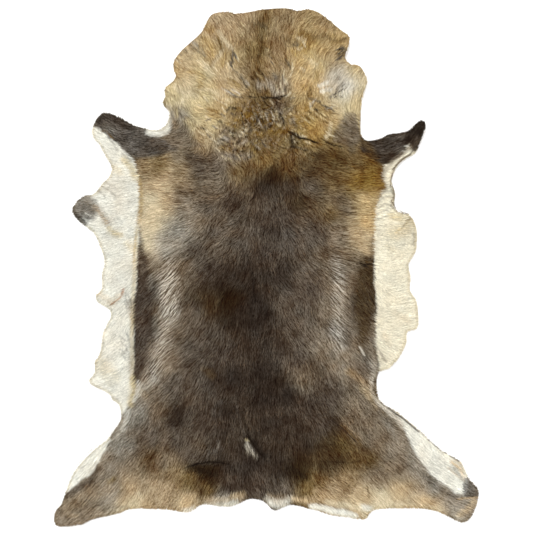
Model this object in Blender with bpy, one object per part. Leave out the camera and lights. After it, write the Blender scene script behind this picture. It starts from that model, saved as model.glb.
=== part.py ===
"""A tanned reindeer hide, laid out flat with its fur side up and its neck towards +Y.

Metres, +Z up. The origin is under the middle of the hide, on the surface that it lies on.
The hide is one solid: a lumpy slab as deep as the pile, with locks of hair around its rim.
"""

import bmesh
import bpy
import numpy as np
from mathutils import Vector, noise
from mathutils.geometry import delaunay_2d_cdt

MM = 0.001

SKIN = 2 * MM
RIM_STEP = 12 * MM  # between the rim's points, and so the width of a lock's root
FINE_STEP = 15 * MM  # between points close to the rim
COARSE_STEP = 25 * MM  # between points further in
RIM_CLEARANCE = 8 * MM  # the rim keeps this far from the nearest inner point
FINE_BAND = 26 * MM  # the fine points reach this far in from the rim
MERGE_GAP = 0.001 * MM  # points of the pattern closer than this become one
SPAN_SAMPLES = 24  # readings of the smooth outline between two of its points

RIM_PILE_SHARE = 0.3  # pile left at the rim, as a share of the pile further in
RIM_ROUNDING = 24 * MM  # the pile reaches its full depth this far in from the rim
CURL_REACH = 42 * MM  # a lifted rim comes back down to the floor over about this far
FLOOR_SNAP = 0.4 * MM  # skin lifted less than this lies flat
PILE_BLEND = 60 * MM  # how softly one depth of pile passes into the next

LOCK_SHORT = 4 * MM
LOCK_LONG = 9 * MM
LOCK_DROOP = 0.25  # how far a lock's tip hangs, as a share of its length
LOCK_MEAN_REACH = 4 * MM  # the slab's rim is drawn in by this much, so lock tips reach the outline
BARE_EVERY = 3  # every third step of the rim has no lock

# The outline of the hide, clockwise from the neck's left corner, a table for each stretch.
# x and y are in millimetres from the middle of the hide, and lift is the height of the skin's
# edge above the floor.
#   x, y, lift
NECK_TOP = (
    (-140, 634, 3),
    (-100, 642, 2),
    (-75, 637, 1),
    (-5, 649, 1),
    (52, 651, 3),
    (78, 644, 2),
    (108, 648, 3),
    (140, 635, 5),
    (188, 594, 9),
    (210, 576, 12),
)
NECK_RIGHT = (
    (205, 544, 8),
    (199, 529, 2),
    (212, 509, 5),
    (235, 506, 8),
    (254, 470, 6),
    (242, 429, 3),
    (236, 379, 2),
    (239, 326, 1),
)
RIGHT_FORELEG = (
    (270, 320, 1),
    (310, 335, 2),
    (352, 340, 6),
    (382, 367, 12),
    (399, 355, 14),
    (385, 311, 8),
    (372, 284, 3),
    (332, 258, 4),
    (312, 216, 2),
)
RIGHT_FLANK = (
    (322, 186, 3),
    (319, 155, 1),
    (330, 138, 4),
    (355, 133, 9),
    (375, 96, 7),
    (374, 41, 3),
    (356, 6, 2),
    (361, -26, 3),
    (359, -59, 2),
    (376, -86, 5),
    (380, -146, 4),
    (371, -158, 3),
    (351, -163, 1),
    (350, -189, 2),
    (332, -226, 4),
    (305, -255, 3),
    (282, -261, 1),
    (276, -291, 1),
    (285, -334, 4),
)
RIGHT_HIND_LEG = (
    (325, -359, 10),
    (378, -402, 11),
    (438, -456, 12),
    (482, -482, 8),
    (500, -514, 5),
    (512, -535, 4),
    (528, -550, 7),
    (530, -574, 8),
    (515, -621, 5),
    (490, -640, 4),
    (450, -624, 2),
    (410, -608, 1),
    (348, -604, 2),
    (285, -606, 1),
)
RUMP = (
    (262, -612, 2),
    (245, -632, 3),
    (198, -626, 2),
    (162, -621, 3),
    (110, -606, 1),
    (60, -595, 1),
    (20, -609, 3),
    (-8, -586, 1),
    (-42, -580, 0),
    (-65, -590, 1),
    (-98, -600, 2),
    (-158, -594, 1),
    (-182, -609, 2),
    (-205, -614, 2),
    (-252, -607, 1),
    (-340, -606, 1),
)
LEFT_HIND_LEG = (
    (-365, -616, 2),
    (-438, -633, 4),
    (-458, -644, 4),
    (-515, -650, 6),
    (-530, -638, 7),
    (-528, -609, 6),
    (-512, -590, 3),
    (-500, -554, 3),
    (-478, -506, 5),
    (-435, -458, 6),
    (-398, -429, 4),
    (-378, -402, 2),
    (-364, -379, 1),
)
LEFT_FLANK = (
    (-369, -342, 1),
    (-384, -335, 3),
    (-393, -317, 3),
    (-435, -296, 6),
    (-445, -284, 7),
    (-429, -264, 4),
    (-430, -236, 3),
    (-416, -214, 2),
    (-408, -161, 3),
    (-388, -114, 1),
    (-424, -86, 4),
    (-426, -68, 5),
    (-411, -54, 3),
    (-412, -21, 4),
    (-405, 16, 2),
    (-418, 56, 3),
    (-432, 85, 2),
)
LEFT_ELBOW = (
    (-465, 111, 4),
    (-486, 139, 7),
    (-475, 164, 6),
    (-455, 180, 4),
    (-430, 185, 1),
    (-412, 208, 2),
    (-392, 228, 3),
    (-387, 250, 2),
)
LEFT_FORELEG = (
    (-405, 281, 4),
    (-418, 306, 5),
    (-432, 321, 6),
    (-436, 346, 7),
    (-420, 376, 9),
    (-402, 388, 8),
    (-365, 376, 4),
    (-322, 354, 2),
    (-278, 345, 3),
    (-255, 352, 2),
    (-244, 386, 1),
)
NECK_LEFT = (
    (-249, 398, 3),
    (-261, 406, 6),
    (-255, 429, 5),
    (-256, 450, 6),
    (-230, 476, 2),
    (-236, 511, 4),
    (-215, 544, 3),
    (-165, 590, 2),
)
OUTLINE = (
    NECK_TOP
    + NECK_RIGHT
    + RIGHT_FORELEG
    + RIGHT_FLANK
    + RIGHT_HIND_LEG
    + RUMP
    + LEFT_HIND_LEG
    + LEFT_FLANK
    + LEFT_ELBOW
    + LEFT_FORELEG
    + NECK_LEFT
)

# The depth of the pile and of its lumps, in millimetres, at places over the hide.
#   x, y, pile, lump
PILE = (
    (0, 610, 19, 4),  # neck, cut edge
    (-150, 500, 23, 6),  # neck, left
    (0, 470, 26, 8),  # mane
    (170, 480, 23, 6),  # neck, right
    (0, 350, 22, 6),  # withers
    (-380, 340, 8, 1),  # left foreleg
    (350, 310, 8, 1),  # right foreleg
    (-180, 200, 18, 3),  # left shoulder
    (200, 200, 18, 3),  # right shoulder
    (0, 0, 19, 3),  # back
    (-380, 0, 12, 3),  # left flank
    (350, 0, 12, 3),  # right flank
    (0, -300, 20, 3),  # loin
    (-260, -400, 18, 3),  # left haunch
    (260, -400, 18, 3),  # right haunch
    (-440, -560, 10, 1),  # left hind leg
    (440, -560, 10, 1),  # right hind leg
    (0, -570, 15, 2),  # rump
)

# The lumps are noise of two sizes: size in millimetres, and share of the lump depth above.
LUMPS = ((85, 0.6), (38, 0.7))

# Folds, creases and scars, each a soft ridge or trough along a line, in millimetres.
# rise lifts skin and fur together, and fur deepens or thins the pile alone.
#   x1, y1, x2, y2, half width, rise, fur
FOLDS = (
    (-68, 424, 52, 423, 10, 0, -9),  # crease across the mane
    (120, 570, 206, 568, 7, 0, -6),  # crease under the neck's right corner
    (130, 586, 200, 584, 16, 5, 0),  # the lip of skin above it
    (176, 518, 200, 534, 8, 0, -4),  # nick in the neck's right edge
    (350, 338, 362, 302, 7, 0, -3),  # twist of the right foreleg's tip
    (338, 92, 362, 120, 12, 5, 0),  # fold in the right flank
    (238, 4, 261, 5, 6, 0, -7),  # nick behind the right shoulder
    (238, -184, 252, -222, 6, 0, -4),  # scar on the right haunch, upper part
    (252, -222, 270, -266, 6, 0, -4),  # and its lower part
    (-70, -349, -52, -431, 8, 0, -6),  # parting of the loin, upper part
    (-52, -431, -8, -476, 8, 0, -6),  # and its lower part
    (-208, -504, -105, -497, 12, 0, -4),  # step on the left of the rump
    (490, -579, 529, -580, 6, 0, -3),  # seam at the right hind leg's tip
    (-440, -628, -424, -612, 8, 0, -3),  # crease of the left hind leg
    (-387, -96, -355, -58, 6, 0, -4),  # tear in the left flank
    (-255, 200, -255, -330, 26, 0, 2),  # ridge where back and left flank meet
    (275, 160, 275, -250, 26, 0, 2),  # ridge where back and right flank meet
)

# Colours of the coat, as linear red, green and blue, each for the places nearest to it.
#   name, colour, places (x, y) in millimetres
COAT = (
    ("fur_back", (0.075, 0.058, 0.043), ((0, 150), (0, -150), (0, -400), (-160, -100), (160, -100))),
    ("fur_neck", (0.42, 0.30, 0.16), ((-150, 500), (0, 520), (150, 520), (-200, 200), (230, 160))),
    ("fur_flank", (0.74, 0.71, 0.60), ((-370, 150), (-370, -150), (345, 50), (345, -120))),
    ("fur_leg", (0.055, 0.043, 0.038), ((-370, 345), (-280, 300), (330, 310), (380, 340))),
    ("fur_haunch", (0.20, 0.15, 0.10), ((-420, -560), (-230, -540), (230, -540), (420, -560))),
)
SKIN_COLOUR = (0.60, 0.50, 0.38)


def closed_curve(rows, step):
    """Points along a smooth closed curve through the rows, about a step apart."""
    before, here, after, beyond = (np.roll(rows, shift, axis=0) for shift in (1, 0, -1, -2))
    dense = []
    for t in np.linspace(0, 1, SPAN_SAMPLES, endpoint=False):
        dense.append(
            here
            + 0.5 * t * (after - before)
            + 0.5 * t**2 * (2 * before - 5 * here + 4 * after - beyond)
            + 0.5 * t**3 * (3 * here - before - 3 * after + beyond)
        )
    curve = np.stack(dense, axis=1).reshape(-1, rows.shape[1])
    loop = np.vstack([curve, curve[:1]])
    run = np.concatenate([[0], np.cumsum(np.hypot(*np.diff(loop[:, :2], axis=0).T))])
    at = np.linspace(0, run[-1], round(run[-1] / step), endpoint=False)
    return np.stack([np.interp(at, run, column) for column in loop.T], axis=1)


def outward(rim):
    """The unit normals of a rim that runs clockwise."""
    along = np.roll(rim, -1, axis=0) - np.roll(rim, 1, axis=0)
    normals = np.stack([-along[:, 1], along[:, 0]], axis=1)
    return normals / np.linalg.norm(normals, axis=1, keepdims=True)


def distance_to_segment(points, start, end):
    along = end - start
    share = np.clip((points - start) @ along / (along @ along), 0, 1)
    return np.linalg.norm(points - start - share[:, None] * along, axis=1)


def distance_to_rim(points, rim):
    ends = np.roll(rim, -1, axis=0)
    return np.min([distance_to_segment(points, a, b) for a, b in zip(rim, ends)], axis=0)


def inside(points, rim):
    """Whether each point is within the rim, by how often a ray from it crosses the rim."""
    x, y = points.T
    crossings = np.zeros(len(points), int)
    for (x1, y1), (x2, y2) in zip(rim, np.roll(rim, -1, axis=0)):
        if y1 != y2:
            level = (y1 > y) != (y2 > y)
            crossings += level & (x < x1 + (y - y1) * (x2 - x1) / (y2 - y1))
    return crossings % 2 == 1


def lattice(rim, step, nearest, furthest):
    """A triangular lattice inside the rim, between two distances from it."""
    low, high = rim.min(axis=0), rim.max(axis=0)
    rows = np.arange(low[1], high[1], step * np.sqrt(3) / 2)
    columns = np.arange(low[0], high[0], step)
    x, y = np.meshgrid(columns, rows)
    x[1::2] += step / 2
    points = np.stack([x.ravel(), y.ravel()], axis=1)
    points = points[inside(points, rim)]
    depth = distance_to_rim(points, rim)
    return points[(depth > nearest) & (depth <= furthest)]


def flat_pattern(rim):
    """The outline filled with even triangles, as points and faces."""
    fine = lattice(rim, FINE_STEP, RIM_CLEARANCE, FINE_BAND)
    coarse = lattice(rim, COARSE_STEP, FINE_BAND + RIM_CLEARANCE, np.inf)
    points = [Vector(point) for point in np.vstack([rim, fine, coarse])]
    edges = [(i, (i + 1) % len(rim)) for i in range(len(rim))]
    inside_the_edges = 1
    found = delaunay_2d_cdt(points, edges, [], inside_the_edges, MERGE_GAP)
    return np.array([point[:] for point in found[0]]), found[2]


def nearness(points, places, softness):
    """How much each place counts at each point, adding up to 1."""
    gap = np.linalg.norm(points[:, None] - places[None], axis=2)
    weight = 1 / (gap**2 + softness**2) ** 2
    return weight / weight.sum(axis=1, keepdims=True)


def tousle(points):
    """Noise from about -1 to 1, in lumps of each size in turn."""
    total = np.zeros(len(points))
    for layer, (size, share) in enumerate(LUMPS):
        spots = points / (size * MM)
        total += share * np.array([noise.noise(Vector((x, y, layer))) for x, y in spots])
    return total


def heights(points, rim, lift):
    """The height of the skin's underside and of the tips of the pile, at each point."""
    depth = distance_to_rim(points, rim)
    curl = nearness(points, rim, RIM_STEP) @ lift * np.exp(-((depth / CURL_REACH) ** 2))
    pile_rows = np.array(PILE) * MM
    pile, lump = (nearness(points, pile_rows[:, :2], PILE_BLEND) @ pile_rows[:, 2:]).T
    pile = pile + lump * tousle(points)
    for row in FOLDS:
        x1, y1, x2, y2, half_width, rise, fur = np.array(row) * MM
        gap = distance_to_segment(points, np.array((x1, y1)), np.array((x2, y2)))
        ridge = np.exp(-((gap / half_width) ** 2))
        curl = curl + rise * ridge
        pile = pile + fur * ridge
    rounding = np.sqrt(np.clip(depth / RIM_ROUNDING, 0, 1))
    pile = pile * (RIM_PILE_SHARE + (1 - RIM_PILE_SHARE) * rounding)
    low = np.clip(curl - FLOOR_SNAP, 0, None)
    return low, low + SKIN + pile


def add_locks(shape, rim, seed):
    """Draws locks of hair out of the walls around the rim, each with four sides."""
    chance = np.random.default_rng(seed)
    middles = (rim + np.roll(rim, -1, axis=0)) / 2
    walls = [None] * len(rim)
    for face in shape.faces:
        if len(face.verts) == 4:
            gap = np.linalg.norm(middles - np.array(face.calc_center_median()[:2]), axis=1)
            walls[gap.argmin()] = face
    for i, wall in enumerate(walls):
        reach = chance.uniform(LOCK_SHORT, LOCK_LONG)
        if i % BARE_EVERY == 0:
            continue
        outwards = Vector((wall.normal.x, wall.normal.y, 0)).normalized()
        tip = bmesh.ops.poke(shape, faces=[wall])["verts"][0]
        tip.co += reach * outwards
        tip.co.z -= min(reach * LOCK_DROOP, tip.co.z / 2)


def hide_mesh():
    rows = closed_curve(np.array(OUTLINE, float) * MM, RIM_STEP)
    rim, lift = rows[:, :2], rows[:, 2]
    rim = rim - LOCK_MEAN_REACH * outward(rim)
    points, faces = flat_pattern(rim)
    low, high = heights(points, rim, lift)

    shape = bmesh.new()
    under = [shape.verts.new((x, y, z)) for (x, y), z in zip(points, low)]
    for face in faces:
        shape.faces.new([under[i] for i in face])
    sheet = shape.faces[:]
    grown = bmesh.ops.extrude_face_region(shape, geom=sheet, use_keep_orig=True)
    height_at = dict(zip(map(tuple, points.astype(np.float32)), high))
    for item in grown["geom"]:
        if isinstance(item, bmesh.types.BMVert):
            item.co.z = height_at[tuple(np.float32(item.co.xy))]
    bmesh.ops.recalc_face_normals(shape, faces=shape.faces[:])
    shape.normal_update()
    add_locks(shape, rim, seed=5)
    centre_on_floor(shape)
    mesh = bpy.data.meshes.new("hide")
    shape.to_mesh(mesh)
    shape.free()
    return mesh


def centre_on_floor(shape):
    places = np.array([vert.co[:] for vert in shape.verts])
    low, high = places.min(axis=0), places.max(axis=0)
    middle = Vector(((low[0] + high[0]) / 2, (low[1] + high[1]) / 2, low[2]))
    bmesh.ops.translate(shape, verts=shape.verts[:], vec=-middle)


def material(name, colour, roughness):
    made = bpy.data.materials.new(name)
    made.use_nodes = True
    shader = made.node_tree.nodes["Principled BSDF"]
    shader.inputs["Base Color"].default_value = (*colour, 1)
    shader.inputs["Roughness"].default_value = roughness
    shader.inputs["Metallic"].default_value = 0
    made.diffuse_color = (*colour, 1)
    return made


def colour_coat(mesh):
    """Gives each face of the pile the coat colour whose place is nearest, and the underside skin."""
    places = np.array([place for _, _, group in COAT for place in group]) * MM
    coat_of = [i for i, (_, _, group) in enumerate(COAT) for _ in group]
    for name, colour, _ in COAT:
        mesh.materials.append(material(name, colour, roughness=0.85))
    mesh.materials.append(material("skin", SKIN_COLOUR, roughness=0.7))
    skin = len(COAT)
    for face in mesh.polygons:
        nearest = np.linalg.norm(places - np.array(face.center[:2]), axis=1).argmin()
        face.material_index = skin if face.normal.z < -0.5 else coat_of[nearest]


def build():
    for thing in list(bpy.context.scene.objects):
        bpy.data.objects.remove(thing)
    collection = bpy.data.collections.new("reindeer_hide")
    bpy.context.scene.collection.children.link(collection)
    mesh = hide_mesh()
    colour_coat(mesh)
    mesh.shade_smooth()
    collection.objects.link(bpy.data.objects.new("hide", mesh))


build()
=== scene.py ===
"""The looks of the reindeer hide: its skin, and its coat as joined meshes of tapered locks.

The coat's colour is a chart over the hide, painted from tables of tones, patches and strokes.
The fur lies along a flow that runs from the neck to the rump, outwards over the flanks and down
the legs. Lengths in the tables are in millimetres from the middle of the hide, with the neck
towards +Y, and angles are in degrees. The rest of the script is in metres.
"""

import math

import bmesh
import bpy
import numpy as np
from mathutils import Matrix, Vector
from mathutils.bvhtree import BVHTree
from mathutils.kdtree import KDTree


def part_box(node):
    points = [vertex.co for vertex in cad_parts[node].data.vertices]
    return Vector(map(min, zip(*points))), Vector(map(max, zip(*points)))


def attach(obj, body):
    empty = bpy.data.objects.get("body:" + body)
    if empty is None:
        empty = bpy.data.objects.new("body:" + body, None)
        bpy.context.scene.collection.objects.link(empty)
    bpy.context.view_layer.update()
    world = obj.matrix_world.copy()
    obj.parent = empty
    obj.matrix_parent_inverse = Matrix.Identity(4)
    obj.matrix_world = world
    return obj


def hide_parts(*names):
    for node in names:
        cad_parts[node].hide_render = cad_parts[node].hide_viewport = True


MM = 0.001

# ---- Noise and chance ----
# Seeds of the noise and of the random draws, one for each use.
SEEDS = {
    "bends": 21, "sway": 22, "twists": 23, "streaks": 24, "tones": 31, "borders": 41,
    "ripple": 51, "clumps": 61, "curly clumps": 62, "mottle": 71, "tint": 72,
    "layers": 100, "rim": 200, "marks": 300,
}
NOISE_TABLE = 512  # the noise repeats after this many lumps

# ---- Skin and underfur ----
SKIN = 2 * MM
MERGE = 0.01 * MM  # points closer than this are one
PAIR_REACH = 1 * MM  # a point of the skin lies under its point of the coat within this
UNDERSIDE = -0.5  # the faces whose normals point lower than this are the skin's
CUTS = 2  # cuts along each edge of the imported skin
LONGEST_EDGE = 20 * MM  # and longer edges than this are halved until none is left
SMOOTHING = 5  # rounds in which the pile's depth is evened out
UNDERFUR_SHARE = 0.5  # the underfur is this deep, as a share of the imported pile
UNDERFUR_SHADE = 0.55  # how dark it is in the shadow of the locks
RIPPLE_SIZE = 16 * MM
RIPPLE_DEPTH = 1.2 * MM

# ---- Chart of the coat ----
CELL = 1.0 * MM
CHART_MARGIN = 30 * MM
TONE_BLEND = 22 * MM  # how softly one tone passes into the next
WARP = ((60 * MM, 7 * MM), (18 * MM, 3 * MM))  # wander of the tones' borders: size, distance
EDGE_WARP = ((22 * MM, 2.2 * MM), (8 * MM, 1.2 * MM))  # wander of the patches' borders
EDGE_FEATHER = 0.9 * MM  # and how far single streaks run past them
WARPED_WIDTH = 8 * MM  # strokes of this half width wander as far as the patches do
PATCH_REACH = 20 * MM  # patches wander and fade out no further than this from their outlines
STROKE_REACH = 8 * MM  # and strokes than this from their soft edges
MOTTLE = ((60 * MM, 0.2), (24 * MM, 0.4), (10 * MM, 0.3))  # blotches: size, strength
TINT = (28 * MM, 0.06)  # stretches that are browner or greyer: size, strength
BROWNER = (1, 0, -1)  # how red, green and blue change where fur is browner
# Streaks of the coat: size of the noise, cells it is drawn out each way along the flow, and
# distance between a light streak and its dark neighbour.
RIDGES = (2.0 * MM, 12, 2.8 * MM)
HAIRS = (1.5 * MM, 4, 1.9 * MM)
TRESSES = (7.0 * MM, 16, 9.0 * MM)
TRESS_CONTRAST = 0.14  # how strongly the tresses lighten and darken the coat
# How far streaks cover a broken stroke and a pale ridge: evenly, by the ridges, by the hairs.
BROKEN_COVER = (0.5, 0.45, 0.25)
SILVER_SHEEN_COVER = (0.5, 0.5, 0.25)
RIM_DEPTH = 4.5 * MM  # this far in, the coat darkens towards its cut edge
RIM_SHADE = (0.84, 0.81, 0.75)  # to this share of its red, green and blue
COARSE = 5  # cells between the places where the slower fields are worked out
# How the flow wanders: name, size of the noise, radians, radians more where the fur is curly.
WANDERINGS = (
    ("bends", 34 * MM, 0.0, 1.5),
    ("sway", 55 * MM, 0.22, 0.0),
    ("twists", 15 * MM, 0.05, 0.9),
)

# Colours of the coat, as they look in plain light: red, green and blue from 0 to 255.
PALETTE = {
    "coal": (30, 22, 15),
    "loam": (41, 27, 12),
    "peat": (47, 38, 31),
    "bark": (59, 49, 40),
    "soot": (62, 53, 44),
    "earth": (73, 62, 52),
    "walnut": (66, 51, 32),
    "hazel": (90, 79, 67),
    "slate": (86, 79, 71),
    "russet": (84, 64, 33),
    "umber": (104, 82, 50),
    "clay": (114, 100, 82),
    "olive": (124, 103, 65),
    "amber": (142, 112, 55),
    "drab": (132, 119, 101),
    "ash": (140, 132, 118),
    "dun": (140, 118, 86),
    "taupe": (152, 130, 96),
    "gold": (163, 135, 82),
    "oat": (168, 146, 114),
    "sand": (180, 156, 112),
    "wheat": (200, 172, 124),
    "fawn": (192, 169, 132),
    "buff": (206, 191, 158),
    "straw": (196, 179, 137),
    "cream": (217, 203, 171),
    "pearl": (188, 179, 161),
    "silver": (206, 198, 182),
    "milk": (224, 221, 208),
    "ivory": (226, 219, 197),
    "rust": (160, 112, 78),
    "bronze": (118, 88, 36),
}

# The broad tones, each at the places where it is seen at its purest.
#   tone, places (x, y)
TONES = (
    # neck
    ("straw", (
        (-165, 428), (-152, 491), (-228, 428), (215, 396), (-168, 378), (-150, 430), (-130, 350),
    )),
    ("russet", ((-28, 378), (0, 400))),
    ("silver", ((200, 445),)),
    ("umber", ((-70, 300), (-15, 328), (20, 310))),
    ("sand", (
        (215, 500), (120, 600), (-102, 378), (-90, 410), (110, 500), (-140, 545), (-215, 491),
        (85, 428), (165, 350), (-70, 520), (100, 500), (120, 420), (170, 560),
    )),
    ("buff", ((-200, 450), (198, 416))),
    ("taupe", ((30, 500), (148, 612), (-65, 561), (-152, 316))),
    ("ash", ((-215, 370),)),
    ("olive", (
        (-75, 340), (-10, 441), (160, 321), (-30, 540), (48, 316), (-2, 278), (-70, 385), (45, 370),
    )),
    ("dun", ((60, 628), (35, 553), (-45, 600), (-40, 491))),
    ("oat", ((-190, 553), (-115, 618), (-128, 600), (-65, 621))),
    ("wheat", ((98, 478), (80, 460))),
    ("fawn", ((-90, 436), (-205, 500), (-95, 605), (-90, 478))),
    ("pearl", ((185, 466),)),
    ("gold", ((110, 553), (110, 366), (122, 341), (95, 400))),
    ("drab", ((-90, 330), (45, 455), (-90, 271), (220, 340))),
    ("clay", ((48, 391), (-220, 330))),
    # shoulders
    ("bark", ((50, 200),)),
    ("russet", ((165, 270),)),
    ("wheat", ((255, 110),)),
    ("bronze", ((240, 215), (262, 225))),
    ("pearl", ((-268, 60),)),
    ("drab", ((-205, 165), (180, 70))),
    ("ash", ((-245, 60), (-205, 130), (-215, 90))),
    ("umber", ((170, 130), (-65, 241), (60, 245), (200, 232), (245, 248), (175, 215))),
    ("fawn", ((-250, 195), (-250, 145), (240, 80))),
    ("clay", ((205, 140), (-190, 180), (-130, 200), (190, 170), (-170, 120))),
    ("hazel", (
        (-175, 270), (-130, 90), (-120, 250), (-50, 80), (-165, 241), (-180, 40), (-150, 150),
    )),
    ("walnut", ((85, 165), (135, 278), (110, 228))),
    ("loam", ((22, 228),)),
    ("olive", ((-275, 245), (215, 190), (198, 215))),
    ("dun", ((-290, 240), (-225, 228))),
    ("oat", ((-230, 215), (-262, 205))),
    ("buff", ((-290, 170), (-285, 100), (-275, 140), (-300, 60))),
    ("sand", ((250, 165), (262, 140))),
    # back
    ("slate", ((60, 60),)),
    ("ash", ((-330, -370),)),
    ("hazel", (
        (-240, -300), (-150, -170), (60, -100), (-312, -230), (160, -300), (80, -135), (-180, -300),
        (-190, -240), (180, -170), (110, 200), (0, 160), (100, 60), (120, 90), (-180, -110),
        (80, -180), (110, -25),
    )),
    ("bark", (
        (-140, -290), (-110, -390), (30, -200), (0, 190), (-60, -30), (-85, -30), (245, -100),
        (-10, -210), (60, -420), (95, -440), (-90, -500), (20, -390), (-230, -370),
    )),
    ("clay", (
        (255, -170), (-240, 10), (190, -30), (-240, -80), (150, 20), (100, -280), (185, -10),
        (205, -290), (215, -30), (-302, 10),
    )),
    ("walnut", ((252, -20), (-170, -90), (-140, -100))),
    ("peat", (
        (-60, -110), (40, -20), (-20, -140), (-25, -100), (-80, -280), (0, -330), (55, -325),
        (-10, -260),
    )),
    ("earth", (
        (-10, 30), (-305, -60), (-305, -150), (100, -60), (135, 78), (85, -240), (-90, 165),
        (0, 100), (-140, -20), (40, 120), (-110, -220), (-150, -390), (100, -350),
    )),
    ("loam", ((-85, -95), (-95, -85))),
    ("drab", ((178, -110), (150, -200), (-290, -297), (-245, -140), (-260, -240), (182, -240))),
    # haunches and rump
    ("cream", ((290, -590),)),
    ("pearl", ((-110, -600),)),
    ("clay", (
        (330, -510), (280, -520), (-265, -360), (-260, -490), (230, -345), (270, -430), (240, -390),
    )),
    ("ash", ((420, -550), (-365, -430), (380, -500), (-390, -560), (-380, -440), (470, -590))),
    ("hazel", ((-290, -420), (-300, -470), (-200, -470), (-220, -430), (40, -555))),
    ("oat", ((-290, -600), (-340, -560), (-270, -570), (170, -560), (-260, -600))),
    ("drab", ((-400, -510), (330, -450), (-450, -560), (-500, -610))),
    ("dun", ((200, -540), (-240, -510))),
    ("walnut", ((160, -440), (150, -490), (-160, -540), (180, -485))),
    ("russet", ((260, -480), (-150, -560), (190, -450))),
    ("umber", ((-290, -480), (130, -540), (215, -480))),
    ("olive", ((-200, -540), (110, -545))),
    ("loam", ((85, -500), (90, -520), (-160, -515), (-145, -520))),
    ("peat", ((-60, -520), (-30, -490), (40, -500))),
    ("earth", ((-20, -540), (-70, -550), (-95, -545), (140, -400), (150, -330))),
    ("fawn", ((330, -560), (240, -580), (-200, -590), (400, -600))),
    ("buff", ((-330, -600),)),
    # legs and flanks
    ("slate", ((-370, 345), (-300, 300))),
    ("soot", ((300, 305), (340, 320))),
    ("milk", ((-380, 170), (-400, 0), (-380, -120), (-400, -250))),
    ("ivory", ((330, 80), (330, -60), (335, -160))),
)

# Patches with a border of their own.
#   tone, strength, softness, broken, outline (x, y)
PATCHES = (
    # dark bands along the flanks
    ("earth", 0.95, 18, 0.25, (
        (-316, 96), (-312, 76), (-308, 51), (-300, 26), (-292, -4), (-285, -39), (-282, -74),
        (-285, -114), (-290, -154), (-295, -194), (-300, -229), (-308, -259), (-318, -294),
        (-330, -309), (-340, -294), (-345, -259), (-348, -209), (-345, -159), (-340, -109),
        (-338, -59), (-332, -9), (-328, 41), (-322, 81),
    )),
    ("walnut", 1.0, 26, 0.25, (
        (244, 24), (232, -10), (222, -48), (219, -92), (223, -134), (228, -172), (236, -197),
        (244, -206), (252, -192), (260, -167), (268, -134), (280, -97), (290, -59), (290, -10),
        (272, 24),
    )),
    # white of the left flank
    ("milk", 1.0, 7, 0.0, (
        (-330, 266), (-322, 228), (-318, 191), (-318, 78), (-324, 16), (-325, -47),
        (-329, -84), (-336, -134), (-328, -172), (-330, -209), (-331, -259), (-331, -297),
        (-338, -334), (-350, -359), (-370, -384), (-515, -384), (-515, 216), (-452, 348),
        (-432, 348), (-415, 346), (-395, 323), (-370, 311), (-355, 291), (-340, 278),
    )),
    # white of the right flank
    ("ivory", 1.0, 7, 0.0, (
        (300, 258), (292, 238), (292, 216), (305, 201), (290, 191), (284, 173), (276, 148),
        (272, 103), (271, 11), (273, -47), (277, -97), (275, -147), (274, -197), (278, -222),
        (282, -264), (422, -264), (422, 166), (385, 253), (380, 291), (365, 306), (346, 303),
        (340, 291), (325, 276), (315, 266),
    )),
    # left foreleg
    ("slate", 1.0, 14, 0.3, (
        (-432, 351), (-422, 393), (-395, 401), (-355, 391), (-318, 371), (-300, 346),
        (-280, 325), (-252, 317), (-220, 311), (-220, 291), (-252, 281), (-302, 271),
        (-325, 271), (-340, 278), (-355, 291), (-370, 311), (-395, 323), (-415, 346),
    )),
    # right foreleg
    ("soot", 1.0, 6, 0.1, (
        (235, 321), (272, 331), (298, 343), (322, 348), (360, 358), (380, 383), (415, 361),
        (395, 326), (382, 293), (370, 286), (362, 293), (358, 306), (353, 294), (347, 283),
        (333, 271), (312, 258), (290, 254), (262, 270), (240, 286),
    )),
    # left elbow
    ("soot", 0.88, 20, 0.25, (
        (-445, 196), (-485, 191), (-515, 158), (-510, 111), (-480, 83), (-455, 96), (-445, 112),
        (-432, 120), (-425, 131), (-430, 151), (-440, 171),
    )),
    # grey-brown wedges between the neck and the shoulders
    ("clay", 0.9, 12, 0.4, (
        (-226, 358), (-212, 354), (-200, 340), (-185, 320), (-148, 298), (-190, 291),
        (-235, 296), (-245, 316), (-235, 341), (-232, 371),
    )),
    ("clay", 0.9, 12, 0.4, (
        (200, 383), (225, 381), (232, 353), (238, 318), (210, 301), (168, 311), (170, 331),
        (182, 358),
    )),
    # white of the right hind leg
    ("milk", 1.0, 11, 0.1, (
        (300, -344), (335, -367), (378, -402), (438, -457), (490, -484), (510, -509),
        (498, -569), (475, -567), (435, -539), (405, -514), (390, -492), (372, -464),
        (358, -434), (342, -402), (320, -369),
    )),
    # dark cap of the right hind leg
    ("slate", 0.85, 4, 0.2, (
        (495, -530), (515, -528), (535, -548), (535, -580), (495, -577), (492, -555),
    )),
    # white of the left hind leg
    ("milk", 1.0, 6, 0.15, (
        (-505, -559), (-483, -507), (-460, -482), (-440, -458), (-415, -438), (-395, -419),
        (-388, -434), (-398, -454), (-410, -472), (-418, -489), (-432, -514), (-455, -532),
        (-475, -547), (-505, -572),
    )),
)

# How a stroke is laid: half width, softness, and how far the streaks of the coat break it up.
STYLES = {
    "hairline": (0.7, 2.0, 0.0),
    "line": (2.0, 2.5, 0.1),
    "curl": (1.8, 2.6, 0.15),
    "faint": (1.6, 3.0, 0.3),
    "wisp": (2.6, 4.0, 0.5),
    "tuft": (5.0, 7.0, 0.5),
    "smear": (8.0, 14.0, 0.4),
    "cloud": (17.0, 26.0, 0.5),
    "veil": (7.0, 12.0, 0.1),
}
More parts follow.
